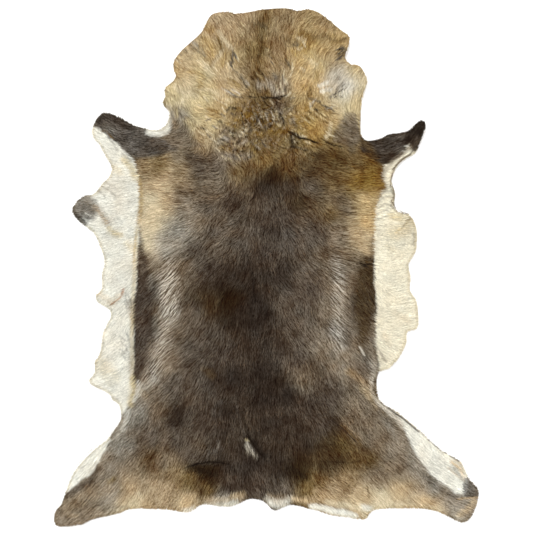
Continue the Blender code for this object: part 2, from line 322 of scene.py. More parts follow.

# Zones of pale ridges on darker fur: pale hair tips, and in part painted sheen on the crests.
#   tone, strength, half width, softness, path (x, y)
SILVER_AND_SHEEN = (
    ("silver", 0.55, 10, 40, ((-248, 50), (-246, -10))),
    ("silver", 1.0, 22, 34, ((-246, -35), (-243, -110))),
    ("silver", 0.75, 12, 38, ((-248, -140), (-262, -205), (-288, -280))),
    ("silver", 0.75, 10, 38, ((178, 12), (182, -30), (183, -100), (180, -160), (184, -200))),
)

# Fine strokes are also laid as locks of their own along their path; some are dark locks of painted
# shadow in creases and along edges.
#   style: locks a millimetre, width of a lock, how far it strays from the path
MARKS = {
    "hairline": (1.2, 0.9, 0.4),
}
MARK_LAYER = "fur_marks"
MARK_SECTIONS = 3
FEWEST_MARKS = 3  # on the shortest path
MARK_LENGTH = 8 * MM
MARK_SPREAD = (0.7, 1.2)  # shortest and longest, as shares of that
MARK_OVERLAP = 0.4  # of its length by which a lock may pass the ends of its path
MARK_WAVE = 0.2  # of its stray by which a lock bends
MARK_BRIGHTNESS = 0.15
MARK_HEIGHT = (1.5 * MM, 3.0 * MM)  # above the roots of the topmost locks
MARK_LIFT = 0.25  # and this share of the fur's length more

# Folds of the hide: height, below zero for a crease, half width and path (x, y).
FOLDS = (
    (-5, 9, ((-95, 427), (-52, 420), (-20, 423), (15, 421), (52, 423))),
    (3, 12, ((-95, 440), (-52, 434), (-20, 437), (15, 434), (52, 436))),
    (-4, 8, ((-68, -360), (-62, -390), (-55, -418), (-42, -438), (-28, -458), (-8, -478))),
    (4, 10, ((-80, -372), (-76, -400), (-68, -430), (-50, -455), (-30, -474))),
    (-4, 8, ((-205, -508), (-165, -500), (-110, -496))),
    (4, 12, ((-200, -492), (-160, -484), (-108, -480))),
    (-3, 7, ((115, 558), (148, 563), (180, 550), (205, 558))),
    (4, 8, ((115, 572), (148, 578), (180, 566), (205, 572))),
    (-4, 6, ((235, 7), (248, 3), (260, 5))),
    (4, 10, ((205, 550), (190, 532), (172, 512))),
    (3, 16, ((-20, 560), (-25, 480))),
    (3, 20, ((30, 520), (40, 440))),
    (4, 12, ((-355, -58), (-368, -80), (-388, -98))),
    (-3, 8, ((-345, -70), (-360, -95))),
    (3, 14, ((290, 150), (318, 138))),
    (-3, 10, ((295, 170), (322, 160))),
    (3, 10, ((235, -202), (250, -228))),
)

# Strokes of colour, some of them painted shadow, highlight and sheen.
#   tone, style, strength, paths (x, y)
STROKES = (
    # mane line
    ("olive", "cloud", 0.7, (((2, 641), (-5, 591), (-15, 541), (-20, 491), (-10, 441)),)),
    ("umber", "smear", 0.7, (
        ((5, 653), (-5, 611), (-10, 578), (-12, 541), (-22, 511), (-28, 478), (-10, 446), (5, 423)),
    )),
    ("umber", "tuft", 0.6, (
        ((-2, 631), (8, 616)), ((-22, 593), (-30, 581)), ((-20, 556), (-15, 541)),
        ((-50, 543), (-38, 536)), ((-8, 451), (-2, 433)),
    )),
    ("coal", "tuft", 0.5, (((-18, 603), (-8, 598)), ((-5, 598), (2, 593)))),
    ("coal", "wisp", 0.5, (
        ((-10, 571), (-10, 548)), ((-18, 526), (-20, 508)), ((-30, 483), (-25, 473)),
    )),
    ("coal", "curl", 0.7, (
        ((-35, 471), (-30, 461)), ((-22, 468), (-15, 456)), ((-18, 491), (-8, 478)),
        ((-10, 481), (0, 466)), ((-5, 451), (0, 438)),
    )),
    ("straw", "curl", 0.6, (
        ((-65, 611), (-55, 598)), ((-72, 583), (-62, 591)), ((-65, 573), (-52, 583)),
        ((-2, 541), (10, 536)), ((-25, 483), (-15, 471)),
    )),
    ("ash", "smear", 0.8, (((10, 451), (25, 428)),)),
    ("drab", "smear", 0.6, (((-25, 456), (-15, 438)), ((5, 466), (18, 456)))),
    ("pearl", "smear", 0.45, (((-18, 448), (5, 456)), ((15, 446), (28, 428)))),
    # left half of the neck
    ("cream", "smear", 0.6, (
        ((-220, 446), (-200, 426), (-210, 408)), ((-190, 436), (-172, 423)),
        ((-150, 501), (-135, 481)), ((-165, 511), (-148, 496)),
    )),
    # the first path is the pale band above the crease, in part painted highlight on its fold
    ("buff", "tuft", 0.7, (
        ((-170, 441), (-148, 441), (-125, 436), (-105, 428)),
        ((-128, 431), (-108, 418), (-88, 411)),
    )),
    ("gold", "smear", 0.5, (
        ((-150, 566), (-132, 546)), ((-152, 606), (-130, 591)), ((-140, 376), (-120, 371)),
    )),
    ("taupe", "tuft", 0.6, (
        ((-200, 556), (-182, 541), (-162, 531)), ((-250, 421), (-230, 426)),
        ((-205, 536), (-185, 523)),
    )),
    ("pearl", "tuft", 0.6, (((-190, 566), (-175, 553)),)),
    ("gold", "tuft", 0.7, (
        ((-190, 486), (-168, 481), (-152, 468)), ((-168, 466), (-158, 456), (-168, 446)),
        ((-108, 516), (-110, 501)), ((-90, 456), (-68, 446)),
    )),
    ("amber", "wisp", 0.7, (
        ((-122, 583), (-118, 563), (-112, 546)), ((-112, 543), (-125, 523), (-138, 506)),
        ((-135, 541), (-132, 523)), ((-95, 468), (-78, 461), (-65, 451)),
        ((-110, 538), (-100, 523)),
    )),
    ("amber", "tuft", 0.6, (((-142, 391), (-120, 386)), ((-150, 591), (-135, 583)))),
    ("cream", "tuft", 0.7, (
        ((-120, 586), (-110, 571), (-98, 558)), ((-110, 536), (-122, 521), (-130, 506)),
        ((-95, 551), (-85, 543)),
    )),
    ("cream", "curl", 0.8, (
        ((-75, 526), (-68, 511)), ((-95, 506), (-90, 491)), ((-155, 423), (-145, 411)),
        ((-135, 423), (-115, 411), (-98, 403)), ((-158, 511), (-145, 493)),
        ((-135, 501), (-122, 486)), ((-225, 456), (-230, 446)), ((-170, 403), (-158, 396)),
        ((-110, 396), (-100, 383)), ((-152, 376), (-140, 363)), ((-130, 348), (-112, 343)),
        ((-148, 338), (-132, 328)), ((-168, 338), (-155, 328)),
    )),
    ("slate", "wisp", 0.45, (
        ((-172, 553), (-160, 536), (-152, 521)), ((-160, 546), (-150, 523)),
        ((-182, 561), (-168, 541)),
    )),
    ("slate", "curl", 0.5, (
        ((-200, 561), (-175, 541), (-155, 526)), ((-232, 528), (-220, 516)),
        ((-225, 538), (-212, 526)), ((-235, 508), (-225, 496)), ((-255, 441), (-240, 433)),
        ((-210, 551), (-198, 536)),
    )),
    ("umber", "wisp", 0.7, (((-258, 421), (-252, 408)),)),
    ("coal", "wisp", 0.7, (((-260, 406), (-250, 401)), ((-232, 363), (-228, 361)))),
    ("slate", "curl", 0.75, (
        ((-82, 538), (-82, 523)), ((-85, 523), (-80, 511)), ((-88, 511), (-85, 498)),
        ((-78, 531), (-72, 518)),
    )),
    ("coal", "curl", 0.7, (((-85, 521), (-82, 506)), ((-88, 501), (-82, 496)))),
    ("ash", "tuft", 0.45, (((-62, 473), (-55, 461), (-48, 448)),)),
    ("slate", "curl", 0.7, (
        ((-62, 471), (-58, 466)), ((-55, 458), (-48, 446)), ((-95, 436), (-75, 423), (-58, 421)),
        ((-100, 441), (-85, 431)),
    )),
    ("silver", "curl", 0.6, (
        ((-50, 461), (-42, 451)), ((-110, 443), (-92, 433), (-80, 426)), ((-85, 441), (-65, 428)),
    )),
    ("oat", "tuft", 0.7, (((-198, 366), (-185, 346)),)),
    ("straw", "tuft", 0.6, (((-225, 391), (-222, 373)),)),
    ("oat", "tuft", 0.4, (((-230, 361), (-225, 343)),)),
    ("straw", "tuft", 0.6, (((-192, 363), (-182, 343)),)),
    ("slate", "faint", 0.6, (
        ((-85, 541), (-82, 521), (-88, 498)), ((-78, 533), (-75, 516)),
        ((-90, 511), (-82, 491), (-70, 481)),
    )),
    ("slate", "hairline", 0.4, (
        ((-82, 536), (-82, 526)), ((-78, 528), (-75, 518)), ((-85, 511), (-88, 501)),
    )),
    ("umber", "wisp", 0.6, (
        ((-120, 571), (-115, 556), (-110, 538)), ((-118, 526), (-128, 513), (-138, 501)),
    )),
    ("slate", "faint", 0.5, (((-100, 431), (-85, 423), (-70, 423)),)),
    ("ash", "faint", 0.6, (((-232, 521), (-212, 506)),)),
    ("straw", "smear", 0.45, (((-198, 361), (-182, 346)),)),
    ("silver", "tuft", 0.5, (((-112, 323), (-95, 316)),)),
    # right half of the neck
    ("amber", "cloud", 0.4, (((80, 366), (110, 336), (130, 321)),)),
    ("milk", "cloud", 0.5, (((198, 486), (205, 461), (198, 431)),)),
    ("straw", "cloud", 0.6, (((115, 516), (140, 501)), ((215, 486), (240, 456), (235, 416)))),
    ("milk", "tuft", 0.85, (((132, 451), (152, 456)), ((138, 438), (160, 441)))),
    ("bronze", "smear", 0.6, (
        ((88, 581), (102, 576)), ((108, 451), (110, 426)), ((132, 401), (155, 383)),
    )),
    ("oat", "tuft", 0.7, (((38, 506), (45, 496)),)),
    ("gold", "tuft", 0.6, (
        ((165, 558), (190, 556)), ((148, 538), (162, 536)), ((135, 501), (140, 486)),
        ((60, 378), (75, 373)),
    )),
    ("amber", "tuft", 0.6, (
        ((128, 483), (125, 463)), ((105, 406), (100, 378)), ((65, 538), (72, 528)),
        ((85, 363), (88, 333)), ((90, 451), (98, 441)),
    )),
    ("umber", "wisp", 0.45, (((112, 571), (130, 568), (148, 571)),)),
    ("umber", "wisp", 0.7, (
        ((170, 563), (185, 563), (198, 568), (208, 573)), ((110, 448), (115, 431)),
        ((105, 436), (102, 416)), ((180, 521), (192, 526)), ((168, 603), (170, 576)),
        ((45, 566), (60, 561)), ((180, 471), (175, 466)),
    )),
    ("cream", "tuft", 0.6, (
        ((112, 511), (122, 496)), ((78, 571), (95, 563)), ((162, 353), (160, 336), (150, 321)),
    )),
    ("cream", "curl", 0.8, (
        ((45, 486), (42, 471), (48, 456)), ((65, 506), (68, 491), (62, 473)),
        ((35, 456), (40, 441), (45, 428)), ((48, 466), (55, 451)), ((25, 451), (30, 433)),
        ((78, 541), (90, 543)), ((92, 561), (98, 548)), ((155, 328), (170, 326)),
        ((85, 496), (98, 488)), ((140, 433), (152, 426)), ((162, 406), (178, 398)),
        ((50, 423), (62, 433)), ((120, 508), (130, 501)),
    )),
    ("slate", "tuft", 0.8, (
        ((70, 553), (78, 551)), ((190, 546), (198, 536)), ((65, 368), (72, 351)),
        ((20, 476), (25, 468)),
    )),
    ("slate", "curl", 0.7, (
        ((10, 523), (15, 518)), ((12, 511), (18, 503)), ((48, 516), (55, 501)),
        ((55, 511), (62, 491)), ((40, 476), (45, 461)), ((45, 446), (50, 433)),
        ((75, 561), (85, 556)), ((182, 541), (198, 541)), ((178, 528), (195, 531)),
        ((172, 511), (188, 518)), ((175, 518), (185, 523)), ((195, 523), (205, 511)),
        ((60, 418), (72, 421)),
    )),
    ("slate", "curl", 0.9, (
        ((138, 403), (150, 398), (162, 393)), ((118, 411), (115, 398)), ((120, 413), (135, 411)),
        ((118, 391), (128, 391)), ((160, 396), (170, 386)), ((108, 418), (118, 418)),
    )),
    ("pearl", "curl", 0.8, (
        ((150, 391), (165, 398)), ((125, 418), (115, 408)), ((110, 408), (112, 393)),
    )),
    ("straw", "curl", 0.7, (
        ((112, 393), (130, 378), (150, 363)), ((100, 383), (118, 368)), ((130, 388), (150, 373)),
        ((92, 371), (108, 358)),
    )),
    ("umber", "faint", 0.9, (
        ((108, 388), (125, 373), (140, 361)), ((120, 393), (138, 378), (155, 368)),
        ((95, 378), (110, 363)), ((140, 363), (158, 356)),
    )),
    ("coal", "curl", 0.9, (((105, 386), (112, 381)), ((122, 393), (130, 388)))),
    ("straw", "tuft", 0.5, (((155, 523), (172, 516)),)),
    ("umber", "wisp", 0.6, (
        ((118, 568), (132, 576), (148, 576), (162, 566), (180, 558), (198, 566)),
    )),
    ("gold", "tuft", 0.5, (((160, 576), (180, 568)), ((92, 536), (115, 526)))),
    ("wheat", "wisp", 0.6, (((108, 591), (130, 596), (150, 588)), ((115, 548), (140, 541)))),
    ("slate", "faint", 0.7, (
        ((162, 421), (178, 438), (192, 458)), ((172, 431), (188, 438), (198, 443)),
        ((158, 421), (172, 428)), ((180, 426), (192, 421)),
    )),
    ("slate", "hairline", 0.4, (
        ((170, 426), (178, 433)), ((180, 433), (192, 441)), ((188, 446), (195, 453)),
        ((168, 418), (175, 423)), ((175, 441), (180, 448)),
    )),
    ("slate", "hairline", 0.8, (
        ((175, 538), (188, 543)), ((178, 528), (190, 536)), ((175, 513), (188, 523)),
    )),
    ("straw", "tuft", 0.6, (((115, 506), (125, 496)),)),
    ("fawn", "smear", 0.5, (((162, 533), (175, 518)),)),
    ("oat", "smear", 0.4, (((22, 541), (38, 528)),)),
    ("pearl", "tuft", 0.5, (((28, 433), (42, 431)),)),
    ("gold", "smear", 0.45, (((82, 526), (90, 506)),)),
    # matted curls behind the crease
    ("bronze", "cloud", 0.35, (((-90, 386), (-10, 371), (45, 351)),)),
    ("umber", "cloud", 0.35, (((-45, 408), (-10, 401), (35, 406)),)),
    ("russet", "cloud", 0.45, (((-40, 386), (-10, 396), (15, 401)), ((-10, 376), (-25, 356)))),
    ("ash", "smear", 0.35, (
        ((-110, 331), (-98, 313), (-115, 308)), ((-70, 326), (-52, 313), (-75, 301)),
        ((-95, 281), (-65, 271), (-40, 276)),
    )),
    ("umber", "smear", 0.8, (((-45, 406), (-25, 396)),)),
    ("slate", "smear", 0.6, (((25, 408), (38, 386)), ((30, 383), (42, 356)))),
    ("bronze", "smear", 0.7, (
        ((-40, 391), (-40, 368)), ((-35, 306), (-25, 286)), ((15, 336), (35, 338), (52, 333)),
        ((-110, 296), (-90, 293)),
    )),
    ("amber", "tuft", 0.6, (
        ((-52, 386), (-45, 371)), ((-100, 358), (-80, 348)), ((-25, 331), (-8, 328)),
        ((-75, 363), (-62, 356)),
    )),
    ("peat", "smear", 0.8, (((68, 326), (68, 301)),)),
    ("umber", "wisp", 0.8, (
        ((30, 316), (42, 326), (58, 331)), ((-40, 313), (-28, 298), (-20, 283)),
        ((-110, 291), (-92, 288)), ((5, 291), (15, 271)),
    )),
    ("straw", "curl", 0.55, (
        ((-90, 331), (-78, 323)), ((-105, 308), (-92, 303)), ((-65, 341), (-58, 328)),
        ((-85, 313), (-75, 308)), ((20, 361), (32, 351), (48, 348)), ((-118, 323), (-102, 328)),
        ((-75, 283), (-65, 271)), ((-95, 271), (-85, 261)), ((-82, 303), (-68, 298)),
        ((25, 386), (30, 373)), ((45, 391), (62, 398), (78, 401)), ((-50, 301), (-40, 308)),
    )),
    ("pearl", "curl", 0.6, (
        ((-60, 333), (-48, 338)), ((-50, 313), (-62, 306)), ((-25, 301), (-15, 291)),
        ((12, 386), (20, 371), (15, 356)), ((-2, 381), (5, 363)), ((-18, 363), (-10, 348)),
    )),
    ("cream", "curl", 0.65, (
        ((-58, 346), (-48, 338)), ((-42, 348), (-38, 338)), ((12, 413), (18, 406)),
        ((-135, 318), (-120, 306)), ((-125, 296), (-115, 286)), ((98, 311), (112, 306)),
        ((85, 323), (100, 323)), ((-110, 276), (-98, 266)),
    )),
    # painted shadow in the crease across the neck
    ("coal", "line", 0.95, (
        ((-12, 423), (-2, 418), (10, 421), (25, 418), (38, 418)), ((32, 423), (52, 426)),
    )),
    ("coal", "curl", 0.85, (
        ((-58, 363), (-55, 348)), ((-52, 366), (-48, 356)), ((-42, 346), (-35, 336)),
        ((-92, 338), (-85, 331), (-75, 333)), ((-85, 328), (-80, 323)), ((-118, 361), (-110, 361)),
        ((5, 381), (0, 371)), ((10, 358), (12, 346)), ((-20, 341), (-5, 338), (10, 348)),
        ((-12, 371), (-5, 356)), ((15, 363), (28, 361)), ((12, 396), (22, 386)),
        ((42, 371), (45, 353)), ((-52, 323), (-45, 328)), ((-65, 316), (-72, 308)),
        ((35, 381), (40, 368)), ((25, 411), (28, 398)), ((-82, 288), (-72, 291)),
        ((-65, 286), (-52, 288)), ((-40, 313), (-32, 303)), ((-28, 296), (-20, 288)),
        ((-8, 416), (2, 403)), ((-62, 386), (-58, 371)),
    )),
    ("slate", "curl", 0.8, (
        ((-105, 326), (-92, 318)), ((-120, 313), (-105, 316)), ((-100, 343), (-110, 333)),
        ((-102, 281), (-92, 273)), ((-82, 278), (-75, 266)), ((-65, 276), (-50, 278)),
        ((-55, 266), (-38, 273)), ((-98, 388), (-90, 396), (-75, 393)), ((-88, 383), (-75, 376)),
        ((-112, 381), (-102, 371)), ((-25, 376), (-20, 361)), ((-5, 346), (5, 353)),
        ((-162, 346), (-150, 341)), ((-10, 308), (0, 298)), ((-150, 363), (-138, 368)),
        ((-135, 351), (-122, 343)), ((-148, 331), (-138, 321)),
    )),
    # painted shadow between the matted tufts
    ("coal", "line", 0.85, (
        ((58, 336), (72, 331), (85, 321), (100, 318), (115, 313), (130, 308)),
        ((62, 298), (78, 298), (95, 288), (102, 291)),
    )),
    ("coal", "curl", 0.9, (
        ((62, 326), (65, 308)), ((142, 316), (155, 308), (172, 301)), ((175, 301), (190, 298)),
    )),
    # locks of painted shadow in the neck's crease and between the tufts
    ("coal", "hairline", 0.8, (
        ((-10, 423), (5, 421), (25, 421)), ((22, 421), (42, 423)), ((-48, 423), (-25, 421)),
        ((60, 333), (72, 326), (85, 318)), ((90, 318), (105, 316), (122, 308)),
    )),
    # pale strip and white pocket beside the left foreleg, pale edge on the right
    ("pearl", "smear", 0.8, (((-247, 395), (-246, 365), (-252, 345)),)),
    ("milk", "smear", 0.95, (((-292, 336), (-270, 331), (-250, 342)),)),
    ("straw", "wisp", 0.7, (((226, 385), (233, 352), (239, 328)),)),
    # forelegs
    ("peat", "smear", 0.7, (((-420, 361), (-405, 378), (-385, 376)), ((-375, 368), (-340, 351)))),
    ("coal", "tuft", 0.6, (((-422, 358), (-412, 371)),)),
    ("umber", "wisp", 0.9, (((-410, 338), (-400, 338)), ((-395, 331), (-382, 318)))),
    ("hazel", "wisp", 0.5, (
        ((-385, 311), (-370, 291)), ((-360, 283), (-340, 266)), ((-400, 331), (-390, 316)),
    )),
    ("milk", "veil", 0.8, (((-290, 338), (-265, 336), (-248, 351), (-245, 381)),)),
    ("coal", "smear", 0.85, (((380, 358), (365, 336), (358, 318)), ((392, 356), (382, 331)))),
    ("slate", "smear", 0.6, (((280, 296), (315, 291), (335, 298)), ((305, 326), (340, 323)))),
    ("umber", "smear", 0.6, (((240, 313), (262, 293)),)),
    ("milk", "curl", 0.8, (((348, 301), (358, 301)), ((342, 288), (358, 286)))),
    ("slate", "tuft", 0.5, (((335, 286), (325, 271)),)),
    ("hazel", "line", 0.6, (((365, 303), (368, 291), (362, 281)), ((378, 323), (380, 301)))),
    ("clay", "tuft", 0.7, (((365, 298), (342, 281), (325, 268)),)),
    ("drab", "tuft", 0.65, (((318, 261), (300, 241), (292, 221)),)),
    ("ash", "smear", 0.4, (((-402, 348), (-385, 338)),)),
    # dark lines along the foreleg's edge, in part painted shadow
    ("clay", "line", 0.7, (((362, 281), (340, 268), (325, 253)),)),
    ("clay", "hairline", 0.8, (
        ((360, 278), (340, 266), (325, 251)), ((322, 248), (315, 228), (312, 213)),
    )),
    # gold round the right shoulder
    ("bronze", "cloud", 0.7, (((220, 208), (250, 203), (285, 201)),)),
    ("bronze", "smear", 0.5, (((240, 201), (265, 198), (298, 201)),)),
    ("bronze", "cloud", 0.5, (((262, 266), (270, 226)),)),
    ("amber", "smear", 0.6, (((250, 193), (268, 178)),)),
    # shoulders and the flank's border
    ("gold", "tuft", 0.75, (((-318, 215), (-312, 178), (-315, 140), (-320, 110)),)),
    ("gold", "wisp", 0.7, (((-325, 85), (-330, 40), (-332, 10)),)),
    ("oat", "wisp", 0.7, (((-338, -118), (-332, -172)),)),
    ("straw", "smear", 0.8, (((-335, -280), (-332, -315), (-340, -345)),)),
    ("fawn", "smear", 0.5, (((-320, -305), (-305, -325)),)),
    ("milk", "tuft", 0.65, (((-318, -289), (-320, -312), (-330, -337)),)),
    ("milk", "smear", 0.6, (((-345, -364), (-358, -404)),)),
    ("straw", "smear", 0.8, (((-355, 268), (-338, 248), (-328, 221)),)),
    ("straw", "smear", 0.4, (((-378, 248), (-365, 236)),)),
    ("silver", "tuft", 0.5, (((-365, -409), (-375, -429)),)),
    ("pearl", "smear", 0.4, (((-308, -297), (-315, -317)),)),
    ("bark", "wisp", 0.7, (((268, 76), (265, 46), (262, 16)),)),
    ("silver", "smear", 0.4, (((-320, -297), (-300, -302), (-282, -284)),)),
    ("loam", "smear", 0.35, (((-50, 216), (-35, 206)),)),
    ("silver", "smear", 0.4, (((-325, -309), (-312, -327)),)),
    ("hazel", "smear", 0.5, (((-230, 283), (-218, 266)),)),
    ("soot", "smear", 0.5, (((210, 308), (218, 286)),)),
    ("taupe", "smear", 0.5, (((260, 56), (265, 31)),)),
    ("dun", "smear", 0.5, (((210, 121), (225, 101)),)),
    ("earth", "smear", 0.55, (((110, -177), (122, -199)),)),
    ("hazel", "smear", 0.5, (((18, 8), (18, -17)),)),
    # left flank
    ("silver", "cloud", 0.4, (((-395, 206), (-375, 166), (-395, 121)),)),
    ("straw", "tuft", 0.6, (
        ((-324, 96), (-328, 21), (-332, -59), (-336, -129), (-335, -199), (-335, -259),
         (-333, -304)),
    )),
    ("bark", "smear", 0.75, (((-485, 166), (-490, 141), (-472, 118)),)),
    ("peat", "tuft", 0.5, (((-470, 168), (-455, 176)), ((-475, 131), (-455, 108)))),
    ("hazel", "smear", 0.4, (((-435, 166), (-418, 138), (-398, 108)),)),
    ("milk", "curl", 0.6, (((-452, 133), (-438, 126)), ((-458, 121), (-445, 113)))),
    ("straw", "smear", 0.45, (((-390, 88), (-370, 76)), ((-350, 58), (-332, 41)))),
    ("straw", "cloud", 0.4, (((-422, -234), (-385, -279)),)),
    ("oat", "tuft", 0.6, (((-430, 151), (-412, 128), (-400, 108)),)),
    ("rust", "faint", 0.8, (((-355, -57), (-360, -72), (-368, -82), (-378, -89), (-388, -97)),)),
    ("rust", "curl", 0.7, (((-358, -57), (-362, -69)), ((-380, -89), (-388, -97)))),
    ("fawn", "smear", 0.45, (((-420, -69), (-395, -87)), ((-372, -77), (-385, -92)))),
    ("slate", "faint", 0.5, (
        ((-352, -64), (-350, -84), (-340, -107)), ((-345, -72), (-338, -92)),
        ((-338, -82), (-335, -107)), ((-355, -87), (-348, -107)),
    )),
    ("slate", "faint", 0.55, (
        ((-368, -174), (-352, -187)), ((-362, -189), (-348, -202)), ((-365, -207), (-352, -219)),
        ((-360, -219), (-350, -234)), ((-348, -169), (-340, -182)), ((-350, -207), (-342, -219)),
    )),
    ("ash", "wisp", 0.5, (((-385, -327), (-370, -334)), ((-345, -184), (-340, -204)))),
    ("ash", "smear", 0.5, (((-448, 166), (-432, 146)),)),
    ("straw", "tuft", 0.6, (((-395, 96), (-380, 81), (-362, 78)),)),
    ("ash", "faint", 0.6, (
        ((-412, 201), (-392, 188), (-375, 176)), ((-405, 211), (-385, 201)),
        ((-420, 191), (-400, 171)),
    )),
    ("ash", "smear", 0.5, (((-278, -129), (-275, -159)), ((-288, -27), (-288, -54)))),
    ("milk", "smear", 0.6, (((-392, -274), (-378, -297)),)),
    ("drab", "smear", 0.4, (((-340, -92), (-338, -119)),)),
    ("drab", "smear", 0.35, (((-338, -232), (-338, -259)),)),
    # right flank
    ("straw", "cloud", 0.5, (((320, 81), (345, 96), (355, 111)),)),
    ("straw", "wisp", 0.7, (((325, 83), (342, 98), (358, 116)),)),
    ("straw", "smear", 0.35, (((305, 53), (318, 41)),)),
    # grey lines of painted shade in the fold and the ripples at the flank's edge
    ("ash", "faint", 0.6, (
        ((340, 96), (350, 111), (362, 123)), ((278, 143), (298, 156), (312, 151)),
        ((280, 161), (300, 176), (315, 171)), ((278, 131), (300, 141), (320, 131)),
        ((282, 173), (300, 188), (315, 188)), ((280, 118), (305, 126), (325, 118)),
    )),
    # dark lines along the flank's edge, in part painted shadow
    ("slate", "line", 0.5, (
        ((312, 201), (318, 178), (312, 151), (328, 136), (352, 131)), ((370, 83), (370, 51)),
    )),
    ("fawn", "smear", 0.3, (((322, -114), (360, -139)), ((295, -172), (310, -197)))),
    ("ash", "wisp", 0.6, (((268, -179), (280, -209), (295, -234)), ((285, -214), (300, -239)))),
    ("slate", "wisp", 0.6, (((260, -179), (275, -209)), ((275, -224), (282, -249)))),
    ("straw", "smear", 0.8, (((315, 126), (335, 121)),)),
    # locks of those dark edge lines, in part painted shadow
    ("clay", "hairline", 0.8, (
        ((315, 206), (320, 186), (320, 166)), ((318, 156), (325, 143), (340, 136)),
        ((342, 133), (358, 131)),
    )),
    # nick, tuft and scar behind the right shoulder
    ("fawn", "smear", 0.8, (((238, 48), (252, 36)),)),
    ("coal", "curl", 1.0, (((235, 8), (248, 3), (262, 6)), ((240, 1), (255, -2)))),
    ("pearl", "line", 0.8, (((232, -202), (240, -209), (245, -222)),)),
    ("silver", "hairline", 0.5, (((235, -204), (245, -222)),)),
    ("slate", "cloud", 0.5, (((235, -249), (260, -264)),)),
    ("ash", "faint", 0.8, (
        ((250, -239), (258, -254)), ((260, -239), (272, -262)), ((242, -269), (255, -279)),
    )),
    ("fawn", "smear", 0.6, (((240, -304), (260, -327)),)),
    ("silver", "line", 0.55, (((235, -202), (245, -222)),)),
    ("slate", "smear", 0.5, (((250, -229), (262, -254)),)),
    # parting of the loin: its dark lines are in part painted shadow in the crease
    ("slate", "wisp", 0.55, (((-75, -339), (-70, -369), (-62, -399), (-52, -424)),)),
    ("coal", "tuft", 0.75, (
        ((-60, -364), (-55, -394), (-42, -422)), ((-30, -437), (-15, -459), (0, -477)),
    )),
    ("ash", "tuft", 0.75, (((-48, -447), (-38, -462), (-25, -477)), ((-50, -449), (-45, -469)))),
    ("pearl", "wisp", 0.55, (((-48, -439), (-38, -457), (-28, -474)), ((-50, -442), (-45, -462)))),
    ("straw", "curl", 0.9, (((-52, -434), (-42, -437)),)),
    # the dark line of the parting, in part painted shadow in its crease
    ("coal", "line", 0.95, (((-42, -429), (-30, -447), (-18, -464), (-5, -477)),)),
    ("slate", "tuft", 0.7, (((-125, -349), (-112, -339)), ((-132, -362), (-130, -372)))),
    ("peat", "tuft", 0.6, (((-120, -347), (-110, -344)), ((-135, -377), (-105, -374)))),
    ("ash", "curl", 0.8, (((-118, -442), (-120, -454), (-128, -462)),)),
    ("slate", "tuft", 0.7, (((-120, -439), (-112, -454)), ((-142, -469), (-125, -462)))),
    # painted sheen, grey over the dark fur
    ("slate", "cloud", 0.6, (((-180, -479), (-150, -477), (-130, -472)),)),
    ("coal", "hairline", 0.9, (
        ((-42, -432), (-32, -447), (-22, -459)), ((-40, -429), (-28, -449), (-18, -464)),
        ((-20, -462), (-10, -474)),
    )),
    # dark hollows and gold edges of the rump, and painted shadow along its crease
    # the first path is painted shade along the crease
    ("loam", "smear", 0.8, (
        ((-190, -507), (-158, -509), (-125, -507)), ((-155, -534), (-140, -544)),
    )),
    # painted shadow in the rump's crease
    ("coal", "line", 1.0, (((-198, -502), (-175, -494), (-145, -489), (-105, -489)),)),
    ("coal", "smear", 0.65, (((-165, -514), (-130, -519)),)),
    ("loam", "cloud", 0.6, (((50, -504), (92, -519)),)),
    ("coal", "tuft", 0.5, (((60, -504), (100, -529)),)),
    ("umber", "smear", 0.7, (((-158, -544), (-142, -562)),)),
    ("walnut", "cloud", 0.6, (((140, -484), (198, -484)),)),
    ("coal", "line", 0.5, (((140, -487), (175, -489), (210, -492), (235, -487)),)),
    ("umber", "line", 0.6, (
        ((185, -397), (205, -412), (228, -434), (240, -449)), ((210, -529), (225, -549)),
        ((218, -509), (228, -534)), ((252, -549), (258, -577)),
    )),
    ("oat", "faint", 0.6, (((195, -397), (215, -412), (235, -432)), ((220, -514), (235, -539)))),
    ("loam", "smear", 0.5, (((15, 236), (35, 221)),)),
    ("umber", "smear", 0.4, (((-152, -259), (-135, -274)),)),
    ("coal", "wisp", 0.6, (((-25, 191), (-32, 153)),)),
    # painted shadow in two creases along the spine
    ("coal", "wisp", 0.7, (((-35, -14), (-30, -49), (-30, -79)), ((-38, -104), (-35, -144)))),
    ("peat", "smear", 0.5, (((-55, 36), (-40, -4)),)),
    ("peat", "tuft", 0.5, (((-225, -364), (-210, -394)), ((-245, -369), (-230, -399)))),
    ("walnut", "tuft", 0.6, (
        ((-290, -477), (-278, -464)), ((-292, -489), (-282, -479)), ((-392, -544), (-380, -532)),
    )),
    # locks of painted shadow in the rump's crease
    ("coal", "hairline", 0.8, (
        ((-188, -499), (-170, -492), (-148, -489)), ((-150, -489), (-125, -489), (-105, -492)),
    )),
    # the last two paths are locks of painted shadow in the creases along the spine
    ("peat", "hairline", 0.7, (
        ((175, -392), (192, -404), (208, -422)), ((210, -424), (225, -439)),
        ((-32, -42), (-35, -64), (-30, -84)), ((-35, -114), (-38, -144)),
    )),
    # white and cream tufts along the rump's edge
    ("fawn", "veil", 0.3, (((-160, -584), (-110, -584), (-65, -582)),)),
    ("milk", "veil", 0.75, (
        ((-205, -614), (-185, -609)), ((-150, -602), (-110, -604), (-70, -594)),
    )),
    ("oat", "veil", 0.3, (((5, -574), (60, -582)),)),
    ("pearl", "veil", 0.9, (((2, -582), (28, -592), (62, -584)),)),
    ("milk", "veil", 0.8, (((12, -594), (30, -602), (50, -594)),)),
    ("milk", "veil", 1.0, (((115, -599), (140, -604), (170, -612), (200, -619), (222, -624)),)),
    ("cream", "veil", 0.6, (((235, -599), (248, -622)),)),
    ("cream", "smear", 0.5, (((298, -599), (360, -597), (435, -609)),)),
    ("cream", "tuft", 0.5, (((-322, -569), (-308, -582)),)),
